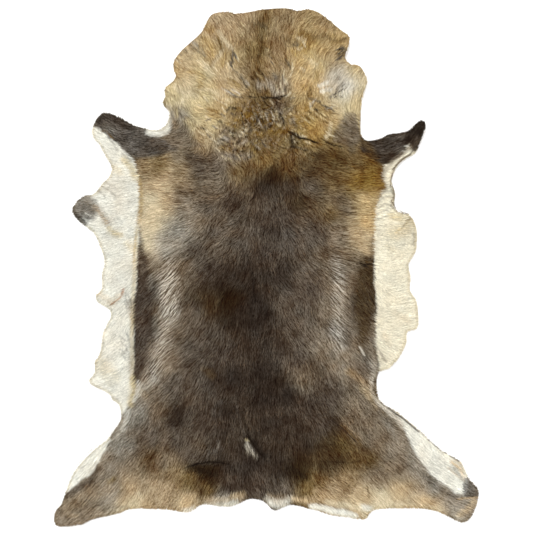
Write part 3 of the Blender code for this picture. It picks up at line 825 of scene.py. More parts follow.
    ("slate", "wisp", 0.3, (
        ((-415, -609), (-385, -604), (-350, -602)), ((-455, -632), (-435, -624)),
    )),
    ("olive", "smear", 0.6, (((-395, -539), (-378, -532)),)),
    ("fawn", "smear", 0.6, (((105, -584), (150, -577), (210, -582)), ((125, -562), (155, -567)))),
    ("milk", "veil", 1.0, (((115, -599), (140, -604), (170, -612), (200, -619), (222, -624)),)),
    ("fawn", "veil", 0.55, (((-82, -577), (-55, -572)),)),
    ("oat", "tuft", 0.5, (((-492, -624), (-472, -624)),)),
    ("cream", "tuft", 0.6, (((238, -604), (260, -617)),)),
    ("oat", "cloud", 0.4, (((-495, -604), (-445, -577), (-395, -557)),)),
    ("cream", "veil", 0.75, (((155, -589), (190, -597), (218, -602)),)),
    ("cream", "veil", 1.0, (((230, -604), (250, -607), (268, -602)),)),
    ("fawn", "veil", 0.8, (((70, -584), (95, -587)),)),
    ("milk", "veil", 0.8, (((245, -602), (262, -607)),)),
    ("silver", "veil", 0.6, (((25, -589), (45, -592)),)),
    # right hind leg
    ("ash", "smear", 0.35, (((300, -352), (325, -384)), ((315, -364), (335, -394)))),
    ("oat", "wisp", 0.6, (
        ((462, -489), (492, -514)), ((455, -504), (495, -537)), ((472, -484), (495, -499)),
    )),
    ("bark", "smear", 0.5, (((400, -529), (435, -554), (472, -577)),)),
    ("oat", "line", 0.9, (((480, -582), (505, -579), (530, -577)),)),
    ("fawn", "smear", 0.6, (((485, -622), (510, -604), (520, -589)),)),
    # dark line along the leg's lifted upper edge, in part painted shadow
    ("peat", "line", 0.9, (
        ((288, -342), (312, -359), (338, -377), (362, -397), (382, -414)),
        ((405, -432), (435, -457), (460, -472), (482, -487)),
    )),
    ("silver", "tuft", 0.9, (
        ((265, -284), (262, -304), (270, -327), (288, -347), (305, -362), (325, -379), (340, -399)),
    )),
    ("oat", "smear", 0.4, (((255, -294), (258, -324), (275, -349)),)),
    ("ash", "tuft", 0.7, (((472, -507), (492, -532)),)),
    ("ash", "smear", 0.4, (((305, -384), (318, -412)),)),
    ("oat", "smear", 0.6, (((210, -264), (225, -277), (242, -289)),)),
    ("fawn", "tuft", 0.7, (((465, -489), (485, -504), (495, -527)),)),
    ("ash", "smear", 0.5, (((285, -367), (305, -397), (320, -427)),)),
    ("oat", "smear", 0.5, (((202, -262), (220, -272)),)),
    ("pearl", "smear", 0.5, (((268, -244), (272, -274)),)),
    ("oat", "smear", 0.5, (((260, -302), (268, -327)),)),
    # left hind leg
    ("bark", "smear", 0.7, (((-498, -575), (-470, -555), (-440, -535), (-420, -508)),)),
    ("ash", "hairline", 0.7, (
        ((-503, -552), (-480, -505), (-457, -480), (-434, -457), (-404, -431)),
    )),
    ("bark", "smear", 0.4, (((-520, -615), (-510, -585)),)),
    ("clay", "smear", 0.5, (((-355, -457), (-342, -479)),)),
    ("fawn", "smear", 0.45, (((-305, -577), (-290, -594)),)),
)

# How the fur grows, at places over the hide.
#   x, y, length, lift, curl, heading
FUR = (
    (0, 620, 9, 22, 0.25, -90),
    (-120, 610, 9, 22, 0.2, -60),
    (120, 610, 9, 22, 0.2, -120),
    (-205, 500, 9, 22, 0.15, -40),
    (-150, 540, 9, 22, 0.15, -50),
    (-150, 460, 9, 22, 0.15, -33),
    (-60, 450, 9, 22, 0.2, -38),
    (200, 500, 9, 22, 0.15, -150),
    (150, 470, 9, 22, 0.2, -135),
    (-100, 510, 9, 26, 0.25, -95),
    (0, 490, 9, 26, 0.35, -78),
    (0, 560, 9, 24, 0.25, -88),
    (90, 500, 9, 26, 0.35, -112),
    (100, 440, 9, 24, 0.35, -95),
    (-40, 390, 9, 28, 0.85, -60),
    (-150, 400, 9, 22, 0.45, -25),
    (-130, 350, 9, 22, 0.5, -35),
    (60, 390, 9, 28, 0.8, -80),
    (150, 390, 9, 24, 0.45, -38),
    (-235, 420, 10, 18, 0.15, -85),
    (-200, 370, 9, 20, 0.3, -60),
    (230, 420, 10, 18, 0.15, -105),
    (0, 320, 9, 24, 0.7, -100),
    (-85, 330, 9, 24, 0.9, -40),
    (85, 330, 9, 24, 0.7, -35),
    (140, 330, 9, 22, 0.4, -30),
    (0, 250, 9, 18, 0.3, -90),
    (-220, 330, 8, 14, 0.1, 178),
    (220, 330, 8, 14, 0.1, -10),
    (-320, 310, 6, 10, 0.1, 165),
    (-410, 360, 5, 10, 0.05, 150),
    (320, 300, 6, 10, 0.1, 15),
    (385, 345, 5, 10, 0.05, 45),
    (-270, 210, 8, 14, 0.15, 175),
    (-290, 120, 6, 14, 0.08, -172),
    (260, 200, 8, 14, 0.15, 0),
    (250, 110, 8, 14, 0.15, -5),
    (-180, 230, 8, 18, 0.2, 165),
    (-190, 140, 8, 18, 0.2, -160),
    (180, 220, 8, 18, 0.25, 5),
    (0, 200, 8, 18, 0.28, -90),
    (-120, 100, 8, 18, 0.28, -125),
    (120, 100, 8, 18, 0.28, -55),
    (0, 50, 8, 18, 0.28, -90),
    (-240, 20, 8, 16, 0.03, -145),
    (200, 20, 8, 16, 0.05, -15),
    (-240, -100, 8, 16, 0.02, -136),
    (185, -100, 8, 16, 0.03, -42),
    (-120, -100, 8, 18, 0.15, -115),
    (90, -100, 8, 18, 0.15, -65),
    (-20, -150, 8, 18, 0.15, -90),
    (-240, -220, 8, 16, 0.03, -134),
    (200, -220, 8, 16, 0.03, -56),
    (-312, -60, 5, 14, 0.05, -125),
    (-325, 60, 5, 12, 0.05, -160),
    (-330, -180, 5, 12, 0.05, -130),
    (262, -60, 5, 14, 0.05, -60),
    (-20, -320, 8, 18, 0.15, -90),
    (-140, -320, 8, 18, 0.15, -105),
    (110, -320, 8, 18, 0.15, -75),
    (-280, -360, 5, 16, 0.15, -125),
    (240, -360, 5, 16, 0.15, -55),
    (-60, -470, 8, 18, 0.15, -95),
    (60, -470, 8, 18, 0.15, -85),
    (-230, -480, 5, 16, 0.12, -122),
    (220, -480, 5, 16, 0.12, -48),
    (0, -580, 8, 16, 0.1, -70),
    (-200, -580, 5, 16, 0.1, -125),
    (200, -590, 5, 16, 0.1, -40),
    (-370, -480, 5, 12, 0.06, -124),
    (350, -450, 5, 12, 0.1, -45),
    (-470, -580, 6, 10, 0.05, -132),
    (470, -560, 6, 10, 0.05, -30),
    (-340, -580, 5, 12, 0.1, -120),
    (360, -580, 5, 12, 0.08, -42),
    (-380, 200, 7, 12, 0.1, 178),
    (-460, 150, 6, 10, 0.05, -170),
    (-380, 60, 6, 12, 0.08, -172),
    (-380, -80, 6, 12, 0.12, -150),
    (-390, -220, 6, 12, 0.06, -145),
    (-400, -310, 6, 12, 0.06, -160),
    (330, 90, 6, 12, 0.06, 6),
    (330, -30, 6, 12, 0.06, 12),
    (340, -140, 6, 12, 0.06, 15),
    (305, -240, 6, 12, 0.06, -25),
)
FUR_BLEND = 40 * MM

# The coat's layers, each one joined mesh of tapered locks.
#   name, locks, sections, width, length share, lift share, height share, shade
# The shade is painted shade of the lower layers, and painted light where it is above 1.
LAYERS = (
    ("fur_under", 110000, 1, 2.7, 1.00, 1.00, 0.00, 0.86),
    ("fur_lower", 190000, 1, 2.0, 1.00, 0.95, 0.15, 0.95),
    ("fur_middle", 190000, 1, 1.6, 0.95, 0.90, 0.27, 1.00),
    ("fur_upper", 65000, 2, 1.4, 1.10, 1.00, 0.36, 1.04),
    ("fur_mane", 34000, 3, 1.1, 1.10, 1.10, 0.42, 1.04),
)
TOPMOST = LAYERS[-1][6]  # the height share of the topmost locks
MANE_LAYER = "fur_mane"
MANE_CURL = 0.3  # the mane grows where the fur is curlier than this
LOCK_WIDTHS = {1: (1.0,), 2: (0.8, 0.9), 3: (0.7, 1.0, 0.8)}  # shares of the width at each section
LOCK_SHADES = {1: (0.76, 1.08), 2: (0.7, 0.98, 1.1), 3: (0.66, 0.9, 1.02, 1.12)}  # from the root to the tip: painted shade at the root, painted light above 1 at the tip
MAP_SIDES = (0.15, 0.85)  # a lock's sides in its cell on the map
MAP_ENDS = (0.1, 0.9)  # and its root and tip
# A lock's own length, lift and width, as the lowest and highest share of its layer's.
LENGTH_SPREAD = (0.75, 1.2)
LIFT_SPREAD = (0.6, 1.3)
WIDTH_SPREAD = (0.8, 1.2)
# Turns in radians: of smooth fur, and added where it is curly.
LOCK_HEADING = (0.07, 0.25)  # each lock away from the flow
CLUMP_HEADING = (0.1, 1.0)  # each clump away from the flow
LOCK_TURN = (0.12, 0.6)  # each lock from its root to its tip
CURL_SPREAD = 1.6  # how far the curly clumps turn away from the flow
CURL_TURN = 2.6  # how far a lock of a curly clump turns from root to tip
CLUMP_SIZE = 5 * MM
CURL_CLUMP_SIZE = 4 * MM
CLUMP_PULL = 0.25  # how far a clump's tips meet
CURL_PULL = 0.65  # and a curly clump's
PULL_POWER = 1.5  # the tips are drawn together more than the roots by this power
ROLL = 22  # a lock turns about its own length by up to this
FLATTENING = 0.75  # how much of its lift a lock has lost at its tip
# Brightness of single locks and of ridges: of smooth fur, and added where it is curly.
LOCK_BRIGHTNESS = (0.56, 0.3)
RIDGE_BRIGHTNESS = (0.2, 0.2)
HAIR_BRIGHTNESS = 0.52
CLUMP_BRIGHTNESS = 0.1
EVEN_REACH = 1.7  # an even draw this far either way has a spread of about 1
# Curly clumps of another tone: tone, share of the clumps, strength.
CURL_TINTS = (
    ("peat", 0.14, 0.6),
    ("cream", 0.16, 0.4),
    ("ash", 0.12, 0.45),
)
TINTED_CURL = (0.4, 0.9)  # the curl at which those show first, and in full
PALE_CALM = (9, 1.6)  # how much less pale fur varies than dark fur: strength, power of its light
DARK_CALM = 0.01  # and the light below which dark fur varies less too
DARKEST = 0.005  # light that any fur has, at least
BRIGHTEST = 0.95  # and colour that it has, at most
HUE_SHIFT = 0.5  # how much greyer fur turns where it is lighter, and browner where darker
PALE_GLOW = 0.9  # how far white fur fills its own shadows
FEATHER = 1.5 * MM  # how far a lock carries its colour along the flow
COLOUR_REACH = 0.5  # share of its own length over which a lock takes its colours
OVERHANG = 5 * MM  # a lock reaches this far past the edge of the skin
LEAST_SHARE = 0.3  # of a lock's length is left where it would reach past that
# The fringe of the cut edge, in the columns of the coat's layers.
RIM_LAYER = ("fur_rim", 12000, 2, 1.8, 1.00, 0.40, 0.00, 0.95)
RIM_LENGTH = 7 * MM
RIM_INSET = 6 * MM  # its locks are rooted up to this far in from the edge
RIM_OUTWARDS = 0.8  # how much they point outwards, against the flow
RIM_STRAY = 0.1

# ---- Materials ----
#   name: roughness, sheen
FINISHES = {
    "fur": (0.6, 0.0),
    "underfur": (0.9, 0.1),
    "leather": (0.8, 0.25),
    "floor": (0.9, 0.0),
}
GLOSS = 0.02  # of every material but the floor
SHEEN_ROUGHNESS = 0.5
NOISE_RANGE = (0.3, 0.7)  # the noise's lowest and highest values
# Noise over the materials: scale, detail, and the values that it gives or the bump's depth.
FINE_HAIR = (900, 2, 0.82, 1.18)
FUR_PATCHES = (45, 3, 0.92, 1.08)
FUR_ROUGHNESS = (300, 2, 0.5, 0.75)
WOOL = (260, 4, 0.8, 1.1)
WOOL_BUMP = (400, 4, 2 * MM)
NAP = (700, 3, 0.92, 1.04)
LEATHER_ROUGHNESS = (60, 3, 0.7, 0.9)
LEATHER_BUMP = (120, 6, 1.5 * MM)
LEATHER_BLOTCHES = (7, 5)
LEATHER_TONES = ((0.35, (196, 176, 140)), (0.65, (226, 212, 184)))  # share of the noise, colour

# ---- Light, floor and camera ----
FLOOR_SIZE = 12
FLOOR_DEPTH = 0.2 * MM  # below the hide
SKY_STRENGTH = 1.05
SUN_STRENGTH = 1.6
SUN_WIDTH = 20
SUN_DIRECTION = (0.3, -0.6, -1.2)
PIXEL = 2.5 * MM
PHOTO_PIXELS = 533
COAT_LEVEL = 10 * MM  # the height at which a pixel of the photograph is that wide
CAMERA_CENTRE = (1.3 * MM, -0.6 * MM)
LENS = 85
SENSOR = 36


def linear(colour):
    """A colour from 0 to 255 as linear light, by the usual curve of screens."""
    share = np.array(colour, float) / 255
    return np.where(share <= 0.04045, share / 12.92, ((share + 0.055) / 1.055) ** 2.4)


TONE = {name: linear(colour) for name, colour in PALETTE.items()}
LUMINANCE = np.array([0.2126, 0.7152, 0.0722])


# ---- Fields over the hide ----
def smooth_step(values):
    """Rises from 0 to 1, gently at both ends."""
    share = np.clip(values, 0, 1)
    return share * share * (3 - 2 * share)


def between_cells(field, near, far, share):
    """The field's values at shares of the way from the near cells to the far ones."""
    (i, j), (i2, j2) = np.moveaxis(near, -1, 0), np.moveaxis(far, -1, 0)
    u, v = np.moveaxis(share, -1, 0)
    if field.ndim == 3:
        u, v = u[..., None], v[..., None]
    low = field[i, j] * (1 - u) + field[i2, j] * u
    high = field[i, j2] * (1 - u) + field[i2, j2] * u
    return low * (1 - v) + high * v


def rumple(points, size, seed):
    """Smooth noise from -1 to 1 over the plane, in lumps of that size."""
    table = np.random.default_rng(seed).uniform(-1, 1, (NOISE_TABLE, NOISE_TABLE))
    spot = points / size
    cell = np.floor(spot).astype(int)
    share = smooth_step(spot - cell)
    return between_cells(table, cell % NOISE_TABLE, (cell + 1) % NOISE_TABLE, share)


def warped(points, layers, seed):
    """The points moved a little by noise, so that borders wander."""
    moved = points.copy()
    for n, (size, reach) in enumerate(layers):
        for axis in (0, 1):
            moved[..., axis] += reach * rumple(points, size, seed + 2 * n + axis)
    return moved


def nearness(points, places, softness):
    """How much each place counts at each point, adding up to 1."""
    gap = np.sum((points[:, None] - places[None]) ** 2, axis=2)
    weight = 1 / (gap + softness**2) ** 2
    return weight / weight.sum(axis=1, keepdims=True)


def distance_to_path(points, path):
    nearest = np.full(points.shape[:-1], np.inf)
    for start, end in zip(path[:-1], path[1:]):
        along = end - start
        share = np.clip((points - start) @ along / (along @ along), 0, 1)
        gap = np.linalg.norm(points - start - share[..., None] * along, axis=-1)
        nearest = np.minimum(nearest, gap)
    return nearest


def depth_within(points, edges):
    """How far in each point is from a closed line of edges, below zero outside it."""
    x, y = np.moveaxis(points, -1, 0)
    far = np.full(x.shape, np.inf)
    crossings = np.zeros(x.shape, int)
    for (x1, y1), (x2, y2) in edges:
        far = np.minimum(far, distance_to_path(points, np.array([(x1, y1), (x2, y2)])))
        if y1 != y2:
            crossings += ((y1 > y) != (y2 > y)) & (x < x1 + (y - y1) * (x2 - x1) / (y2 - y1))
    return np.where(crossings % 2 == 1, far, -far)


def soft_edge(depth, softness):
    """1 well inside an edge and 0 well outside it, from the depth within it."""
    return smooth_step(depth / (softness * MM) + 0.5)


def single_strokes():
    """The strokes one by one: tone, style, strength and path."""
    return [(*row[:3], path) for row in STROKES for path in row[3]]


class Chart:
    """A square grid over the hide, on which the flow, the fur's growth and its colour are drawn."""

    def __init__(self, low, high, rim):
        self.origin = np.array(low[:2]) - CHART_MARGIN
        far = np.array(high[:2]) + CHART_MARGIN
        axes = [np.arange(a, b, CELL) for a, b in zip(self.origin, far)]
        self.points = np.stack(np.meshgrid(*axes, indexing="ij"), axis=-1)
        self.shape = self.points.shape[:2]
        self.sparse = self.points[::COARSE, ::COARSE]
        self.growth = self.filled(self.blended(FUR, FUR_BLEND))
        self.depth = self.filled(depth_within(self.sparse, rim)[..., None])[..., 0]
        self.ridges, self.hairs, self.tresses = self.drawn_out((RIDGES, HAIRS, TRESSES))
        streaks = (EDGE_FEATHER * (self.ridges + self.hairs))[..., None]
        self.feathered = warped(self.points, EDGE_WARP, SEEDS["borders"])
        self.feathered += streaks * self.growth[..., 3:5]
        self.colour = self.painted()

    def filled(self, field):
        """A field known at every COARSEth cell, filled in between."""
        for axis in (0, 1):
            spot = np.arange(self.shape[axis]) / COARSE
            cell = np.minimum(spot.astype(int), field.shape[axis] - 2)
            share = np.expand_dims(spot - cell, (1, 2) if axis == 0 else (0, 2))
            near, far = np.take(field, cell, axis), np.take(field, cell + 1, axis)
            field = near * (1 - share) + far * share
        return field

    def blended(self, rows, softness):
        """Length, lift, curl and flow of the fur, the flow as a unit vector."""
        table = np.array(rows, float)
        heading = np.radians(table[:, 5])
        columns = np.column_stack([
            table[:, 2] * MM, np.radians(table[:, 3]), table[:, 4],
            np.cos(heading), np.sin(heading),
        ])
        flat = self.sparse.reshape(-1, 2)
        found = nearness(flat, table[:, :2] * MM, softness) @ columns
        curl = found[:, 2]
        angle = np.arctan2(found[:, 4], found[:, 3])
        angle += sum(
            (smooth + curly * curl) * rumple(flat, size, SEEDS[name])
            for name, size, smooth, curly in WANDERINGS
        )
        found[:, 3], found[:, 4] = np.cos(angle), np.sin(angle)
        return found.reshape(*self.sparse.shape[:2], -1)

    def at(self, field, points):
        """The field's values at the points, blended between the grid's cells."""
        last = np.array(self.shape) - 1
        spot = np.clip((points - self.origin) / CELL, 0, last)
        cell = np.minimum(spot.astype(int), last - 1)
        return between_cells(field, cell, cell + 1, spot - cell)

    def cells(self, points):
        """The cells nearest to the points, ready to index a field."""
        cell = np.rint((points - self.origin) / CELL).astype(int)
        return tuple(np.moveaxis(np.clip(cell, 0, np.array(self.shape) - 1), -1, 0))

    def drawn_out(self, wanted):
        """Fields of noise smeared along the flow into streaks, evened to a spread of 1."""
        flow = self.growth[..., 3:5]
        first = SEEDS["streaks"]
        fields = [rumple(self.points, size, first + n) for n, (size, _, _) in enumerate(wanted)]
        totals = [field.copy() for field in fields]
        for way in (-1, 1):
            spots = self.points
            for step in range(max(steps for _, steps, _ in wanted)):
                spots = spots + way * CELL * flow[self.cells(spots)]
                cells = self.cells(spots)
                for total, field, (_, steps, _) in zip(totals, fields, wanted):
                    if step < steps:
                        total += field[cells]
        aside = np.stack([-flow[..., 1], flow[..., 0]], axis=-1)
        for n, (total, (_, _, gap)) in enumerate(zip(totals, wanted)):
            streaks = total - self.at(total, self.points + gap * aside)
            totals[n] = streaks / streaks.std()
        return totals

    def window(self, path, reach):
        """The part of the grid within reach of the path."""
        low = np.maximum((path.min(axis=0) - reach - self.origin) / CELL, 0).astype(int)
        high = ((path.max(axis=0) + reach - self.origin) / CELL).astype(int) + 1
        return slice(low[0], high[0]), slice(low[1], high[1])

    def painted(self):
        """The coat's colour on the grid: tones, then patches, strokes (some of them painted shadow,
        highlight and sheen), and pale ridges that are in part painted sheen.
        """
        names = [name for name, places in TONES for _ in places]
        places = np.array([place for _, group in TONES for place in group]) * MM
        tones = np.array([TONE[name] for name in names])
        flat = warped(self.sparse, WARP, SEEDS["tones"]).reshape(-1, 2)
        colour = (nearness(flat, places, TONE_BLEND) @ tones).reshape(*self.sparse.shape[:2], 3)
        colour = self.filled(colour)
        self.paint_patches(colour)
        self.paint_strokes(colour)
        self.paint_silver_and_sheen(colour)
        return self.mottled(colour)

    def paint_patches(self, colour):
        for tone, strength, softness, broken, outline in PATCHES:
            ring = np.array(outline, float) * MM
            i, j = self.window(ring, PATCH_REACH)
            edges = np.stack([ring, np.roll(ring, -1, axis=0)], axis=1)
            depth = depth_within(self.feathered[i, j], edges)
            cover = strength * soft_edge(depth, softness)
            self.lay(colour, i, j, cover * self.unbroken(i, j, broken), tone)

    def paint_strokes(self, colour):
        for tone, style, strength, path in single_strokes():
            half_width, softness, broken = STYLES[style]
            line = np.array(path, float) * MM
            i, j = self.window(line, (half_width + softness) * MM + STROKE_REACH)
            wander = min(1, half_width * MM / WARPED_WIDTH)
            spots = self.points[i, j] + wander * (self.feathered[i, j] - self.points[i, j])
            depth = half_width * MM - distance_to_path(spots, line)
            cover = strength * soft_edge(depth, softness)
            self.lay(colour, i, j, cover * self.unbroken(i, j, broken), tone)

    def paint_silver_and_sheen(self, colour):
        """The pale ridges, which show only on the crests of the coat: pale hair tips, and in part
        painted sheen.
        """
        for tone, strength, half_width, softness, path in SILVER_AND_SHEEN:
            line = np.array(path, float) * MM
            i, j = self.window(line, (half_width + softness) * MM)
            depth = half_width * MM - distance_to_path(self.feathered[i, j], line)
            cover = strength * soft_edge(depth, softness)
            self.lay(colour, i, j, cover * self.streaked(i, j, SILVER_SHEEN_COVER), tone)

    def streaked(self, i, j, cover):
        """How far the streaks of the coat cover each cell."""
        evenly, by_ridges, by_hairs = cover
        return smooth_step(evenly + by_ridges * self.ridges[i, j] + by_hairs * self.hairs[i, j])

    def unbroken(self, i, j, broken):
        """What is left of a stroke that the streaks break up as far as asked."""
        return 1 - broken + broken * self.streaked(i, j, BROKEN_COVER)

    def lay(self, colour, i, j, cover, tone):
        """Lays a tone over part of the chart, as far as it covers each cell."""
        colour[i, j] += cover[..., None] * (TONE[tone] - colour[i, j])

    def mottled(self, colour):
        """The colour darker at the cut edge, blotched, and browner or greyer in stretches."""
        rim = smooth_step(1 - self.depth / RIM_DEPTH)
        colour = colour * (1 - rim[..., None] * (1 - np.array(RIM_SHADE)))
        blotches = TRESS_CONTRAST * self.tresses
        for size, strength in MOTTLE:
            blotches += strength * rumple(self.points, size, SEEDS["mottle"])
        size, strength = TINT
        warmth = strength * rumple(self.points, size, SEEDS["tint"]) * (1 - colour @ LUMINANCE)
        return varied(colour * np.exp(warmth[..., None] * np.array(BROWNER)), blotches)


# ---- Skin ----
def skin_pattern(node):
    """The hide's underside, cut fine: its points, the coat's height over each, and triangles."""
    shape = bmesh.new()
    shape.from_mesh(node.data)
    bmesh.ops.remove_doubles(shape, verts=shape.verts[:], dist=MERGE)
    shape.normal_update()
    coat = BVHTree.FromBMesh(shape)
    plan = KDTree(len(shape.verts))
    for vert in shape.verts:
        plan.insert((vert.co.x, vert.co.y, 0), vert.index)
    plan.balance()
    tips = {
        vert for vert in shape.verts
        if len(plan.find_range((vert.co.x, vert.co.y, 0), PAIR_REACH)) < 2
    }
    rest = [
        face for face in shape.faces if face.normal.z > UNDERSIDE or tips & set(face.verts)
    ]
    bmesh.ops.delete(shape, geom=rest, context="FACES")
    bmesh.ops.reverse_faces(shape, faces=shape.faces[:])
    bmesh.ops.subdivide_edges(shape, edges=shape.edges[:], cuts=CUTS, use_grid_fill=True)
    bmesh.ops.triangulate(shape, faces=shape.faces[:])
    while too_long := [edge for edge in shape.edges if edge.calc_length() > LONGEST_EDGE]:
        bmesh.ops.subdivide_edges(shape, edges=too_long, cuts=1)
        bmesh.ops.triangulate(shape, faces=shape.faces[:])
    shape.verts.index_update()
    points = np.array([vert.co[:] for vert in shape.verts])
    faces = np.array([[vert.index for vert in face.verts] for face in shape.faces])
    edges = np.array([[vert.index for vert in edge.verts] for edge in shape.edges])
    over = np.empty(len(points))
    above, down = Vector((0, 0, 1)), Vector((0, 0, -1))
    for k, point in enumerate(points):
        hit = coat.ray_cast(Vector(point) + above, down)[0]
        over[k] = hit.z if hit else coat.find_nearest(Vector(point))[0].z
    shape.free()
    return points, over, faces, edges


def smoothed(values, edges, rounds):
    """The points' values, each drawn towards those of its neighbours in every round."""
    size = len(values)
    count = np.bincount(edges.ravel(), minlength=size)
    for _ in range(rounds):
        total = np.bincount(edges[:, 0], values[edges[:, 1]], size)
        total += np.bincount(edges[:, 1], values[edges[:, 0]], size)
        values = (values + total / count) / 2
    return values


def rim_edges(faces):
    """The edges at the hide's rim, each in the direction in which its one face runs."""
    runs = np.concatenate([faces[:, [0, 1]], faces[:, [1, 2]], faces[:, [2, 0]]])
    both = {tuple(run) for run in runs.tolist()}
    return np.array([run for run in runs.tolist() if (run[1], run[0]) not in both])


def placed(mesh, material):
    """The mesh with its material, as a piece of the scene."""
    mesh.materials.append(material)
    made = bpy.data.objects.new(mesh.name, mesh)
    bpy.context.scene.collection.objects.link(made)
    return made


def folded(points):
    """How far the folds raise or sink the coat at each point."""
    total = np.zeros(len(points))
    for height, half_width, path in FOLDS:
        gap = distance_to_path(points, np.array(path, float) * MM)
        total += height * MM * smooth_step(1 - gap / (half_width * MM))
    return total


def build_skin(pattern, rim, chart):
    """The skin with its underfur, and the underfur's surface for the locks to stand on."""
    points, over, faces, edges = pattern
    pile = smoothed(over - points[:, 2] - SKIN, edges, SMOOTHING)
    plan = points[:, :2]
    ripple = RIPPLE_DEPTH * rumple(plan, RIPPLE_SIZE, SEEDS["ripple"])
    ripple[np.unique(rim)] = 0
    top = points.copy()
    top[:, 2] += SKIN + np.clip(UNDERFUR_SHARE * pile + ripple + folded(plan), 0, None)
    count = len(points)
    walls = [[a, a + count, b + count, b] for a, b in rim.tolist()]
    under = (faces[:, ::-1] + count).tolist()
    mesh = bpy.data.meshes.new("hide_skin")
    mesh.from_pydata(np.vstack([top, points]).tolist(), [], faces.tolist() + walls + under)
    skin = placed(mesh, underfur_material())
    skin.data.materials.append(leather_material())
    slots = [0] * len(faces) + [1] * (len(walls) + len(under))
    skin.data.polygons.foreach_set("material_index", slots)
    skin.data.shade_smooth()
    colours = chart.at(chart.colour, plan)
    shade = shaded(UNDERFUR_SHADE, colours)[:, None]
    paint(skin.data, np.tile(colours * shade, (2, 1)))
    return skin, top, pile


def varied(colours, variety):
    """Colours lighter or darker by the variety: greyer where lighter, browner where darker."""
    strength, power = PALE_CALM
    light = np.maximum(colours @ LUMINANCE, DARKEST)[..., None]
    hue = 1 + HUE_SHIFT * (1 - colours / light)
    calm = light / (light + DARK_CALM) / (1 + strength * light ** power)
    change = variety[..., None] * hue * calm
    return colours * np.exp(change - change ** 2 / 2)


def shaded(shade, colours):
    """A shade below 1 is the shadow among the locks, which pale fur fills with its own light."""
    light = colours @ LUMINANCE
    return shade + (1 - shade) * PALE_GLOW * light * (shade < 1)


def paint(mesh, colours):
    layer = mesh.color_attributes.new("coat", "FLOAT_COLOR", "POINT")
    layer.data.foreach_set("color", np.column_stack([colours, np.ones(len(colours))]).ravel())


# ---- Fur ----
def clump_centres(points, size, seed):
    """For each point, the nearest centre of a clump and that clump's own three numbers."""
    chance = np.random.default_rng(seed)
    table = chance.uniform(0, 1, (NOISE_TABLE, NOISE_TABLE, 5))
    cell = np.floor(points / size).astype(int)
    best = np.full(len(points), np.inf)
    centre = np.zeros((len(points), 2))
    own = np.zeros((len(points), 3))
    for step in ((i, j) for i in (-1, 0, 1) for j in (-1, 0, 1)):
        near = cell + step
        draw = table[near[:, 0] % NOISE_TABLE, near[:, 1] % NOISE_TABLE]
        spot = (near + draw[:, :2]) * size
        gap = np.sum((points - spot) ** 2, axis=1)
        closer = gap < best
        best[closer], centre[closer], own[closer] = gap[closer], spot[closer], draw[closer, 2:]
    return centre, own


def scattered(top, faces, pile, count, chance):
    """Places spread evenly over the underfur: points, normals and the pile there."""
    corners = top[faces]
    normals = np.cross(corners[:, 1] - corners[:, 0], corners[:, 2] - corners[:, 0])
    area = np.linalg.norm(normals, axis=1)
    smooth = np.zeros_like(top)
    for k in range(3):
        np.add.at(smooth, faces[:, k], normals)
    smooth /= np.linalg.norm(smooth, axis=1, keepdims=True)
    picked = chance.choice(len(faces), count, p=area / area.sum())
    a, b = chance.uniform(0, 1, (2, count))
    fold = a + b > 1
    a[fold], b[fold] = 1 - a[fold], 1 - b[fold]
    shares = np.stack([1 - a - b, a, b], axis=1)[..., None]
    chosen = faces[picked]
    normal = (smooth[chosen] * shares).sum(axis=1)
    normal /= np.linalg.norm(normal, axis=1, keepdims=True)
    return (top[chosen] * shares).sum(axis=1), normal, (pile[chosen] * shares[..., 0]).sum(axis=1)


def atlas_order(places):
    """An order of the locks by rows from rump to neck, and how many share a row."""
    side = math.ceil(math.sqrt(len(places)))
    by_row = np.argsort(places[:, 1], kind="stable")
    rows = np.split(by_row, range(side, len(by_row), side))
    return np.concatenate([row[np.argsort(places[row, 0], kind="stable")] for row in rows]), side


def lock_faces(count, sections):
    """The corners of all the locks' faces one after another, and where each face begins."""
    each = 2 * sections + 1
    pattern, starts = [], []
    for k in range(0, each - 3, 2):
        starts.append(len(pattern))
        pattern += [k, k + 1, k + 3, k + 2]
    starts.append(len(pattern))
    pattern += [each - 3, each - 2, each - 1]
    locks = np.arange(count)[:, None]
    corners = locks * each + np.array(pattern)
    return corners.ravel(), (locks * len(pattern) + np.array(starts)).ravel()


def lock_map(count, sections, side):
    """Each lock's corners in a cell of its own on the map, root at the bottom."""
    cell = np.stack([np.arange(count) % side, np.arange(count) // side], axis=1)
    root, tip = MAP_ENDS
    u = np.array([*MAP_SIDES] * sections + [0.5])
    v = root + (tip - root) * np.append(np.repeat(np.arange(sections), 2), sections) / sections
    return ((cell[:, None] + np.stack([u, v], axis=1)[None]) / side).reshape(-1, 2)


def lock_mesh(name, spine, across, widths, colours, side, material):
    """One joined mesh of locks. spine holds each lock's points from root to tip."""
    count, sections = spine.shape[0], spine.shape[1] - 1
    halves = widths[..., None, None] * np.array([[-0.5], [0.5]])
    sides = spine[:, :-1, None] + across[:, :, None] * halves
    corners = np.concatenate([sides.reshape(count, -1, 3), spine[:, -1:]], axis=1)
    tints = np.concatenate([np.repeat(colours[:, :-1], 2, axis=1), colours[:, -1:]], axis=1)
    loops, begins = lock_faces(count, sections)
    mesh = bpy.data.meshes.new(name)
    mesh.vertices.add(corners.shape[0] * corners.shape[1])
    mesh.vertices.foreach_set("co", corners.astype(np.float32).ravel())
    mesh.loops.add(len(loops))
    mesh.loops.foreach_set("vertex_index", loops.astype(np.int32))
    mesh.polygons.add(len(begins))
    mesh.polygons.foreach_set("loop_start", begins.astype(np.int32))
    mesh.update(calc_edges=True)
    mesh.validate()
    paint(mesh, tints.reshape(-1, 3))
    flat = lock_map(count, sections, side)[loops]
    mesh.uv_layers.new(name="OFBake").uv.foreach_set("vector", flat.astype(np.float32).ravel())
    mesh.shade_smooth()
    return placed(mesh, material)


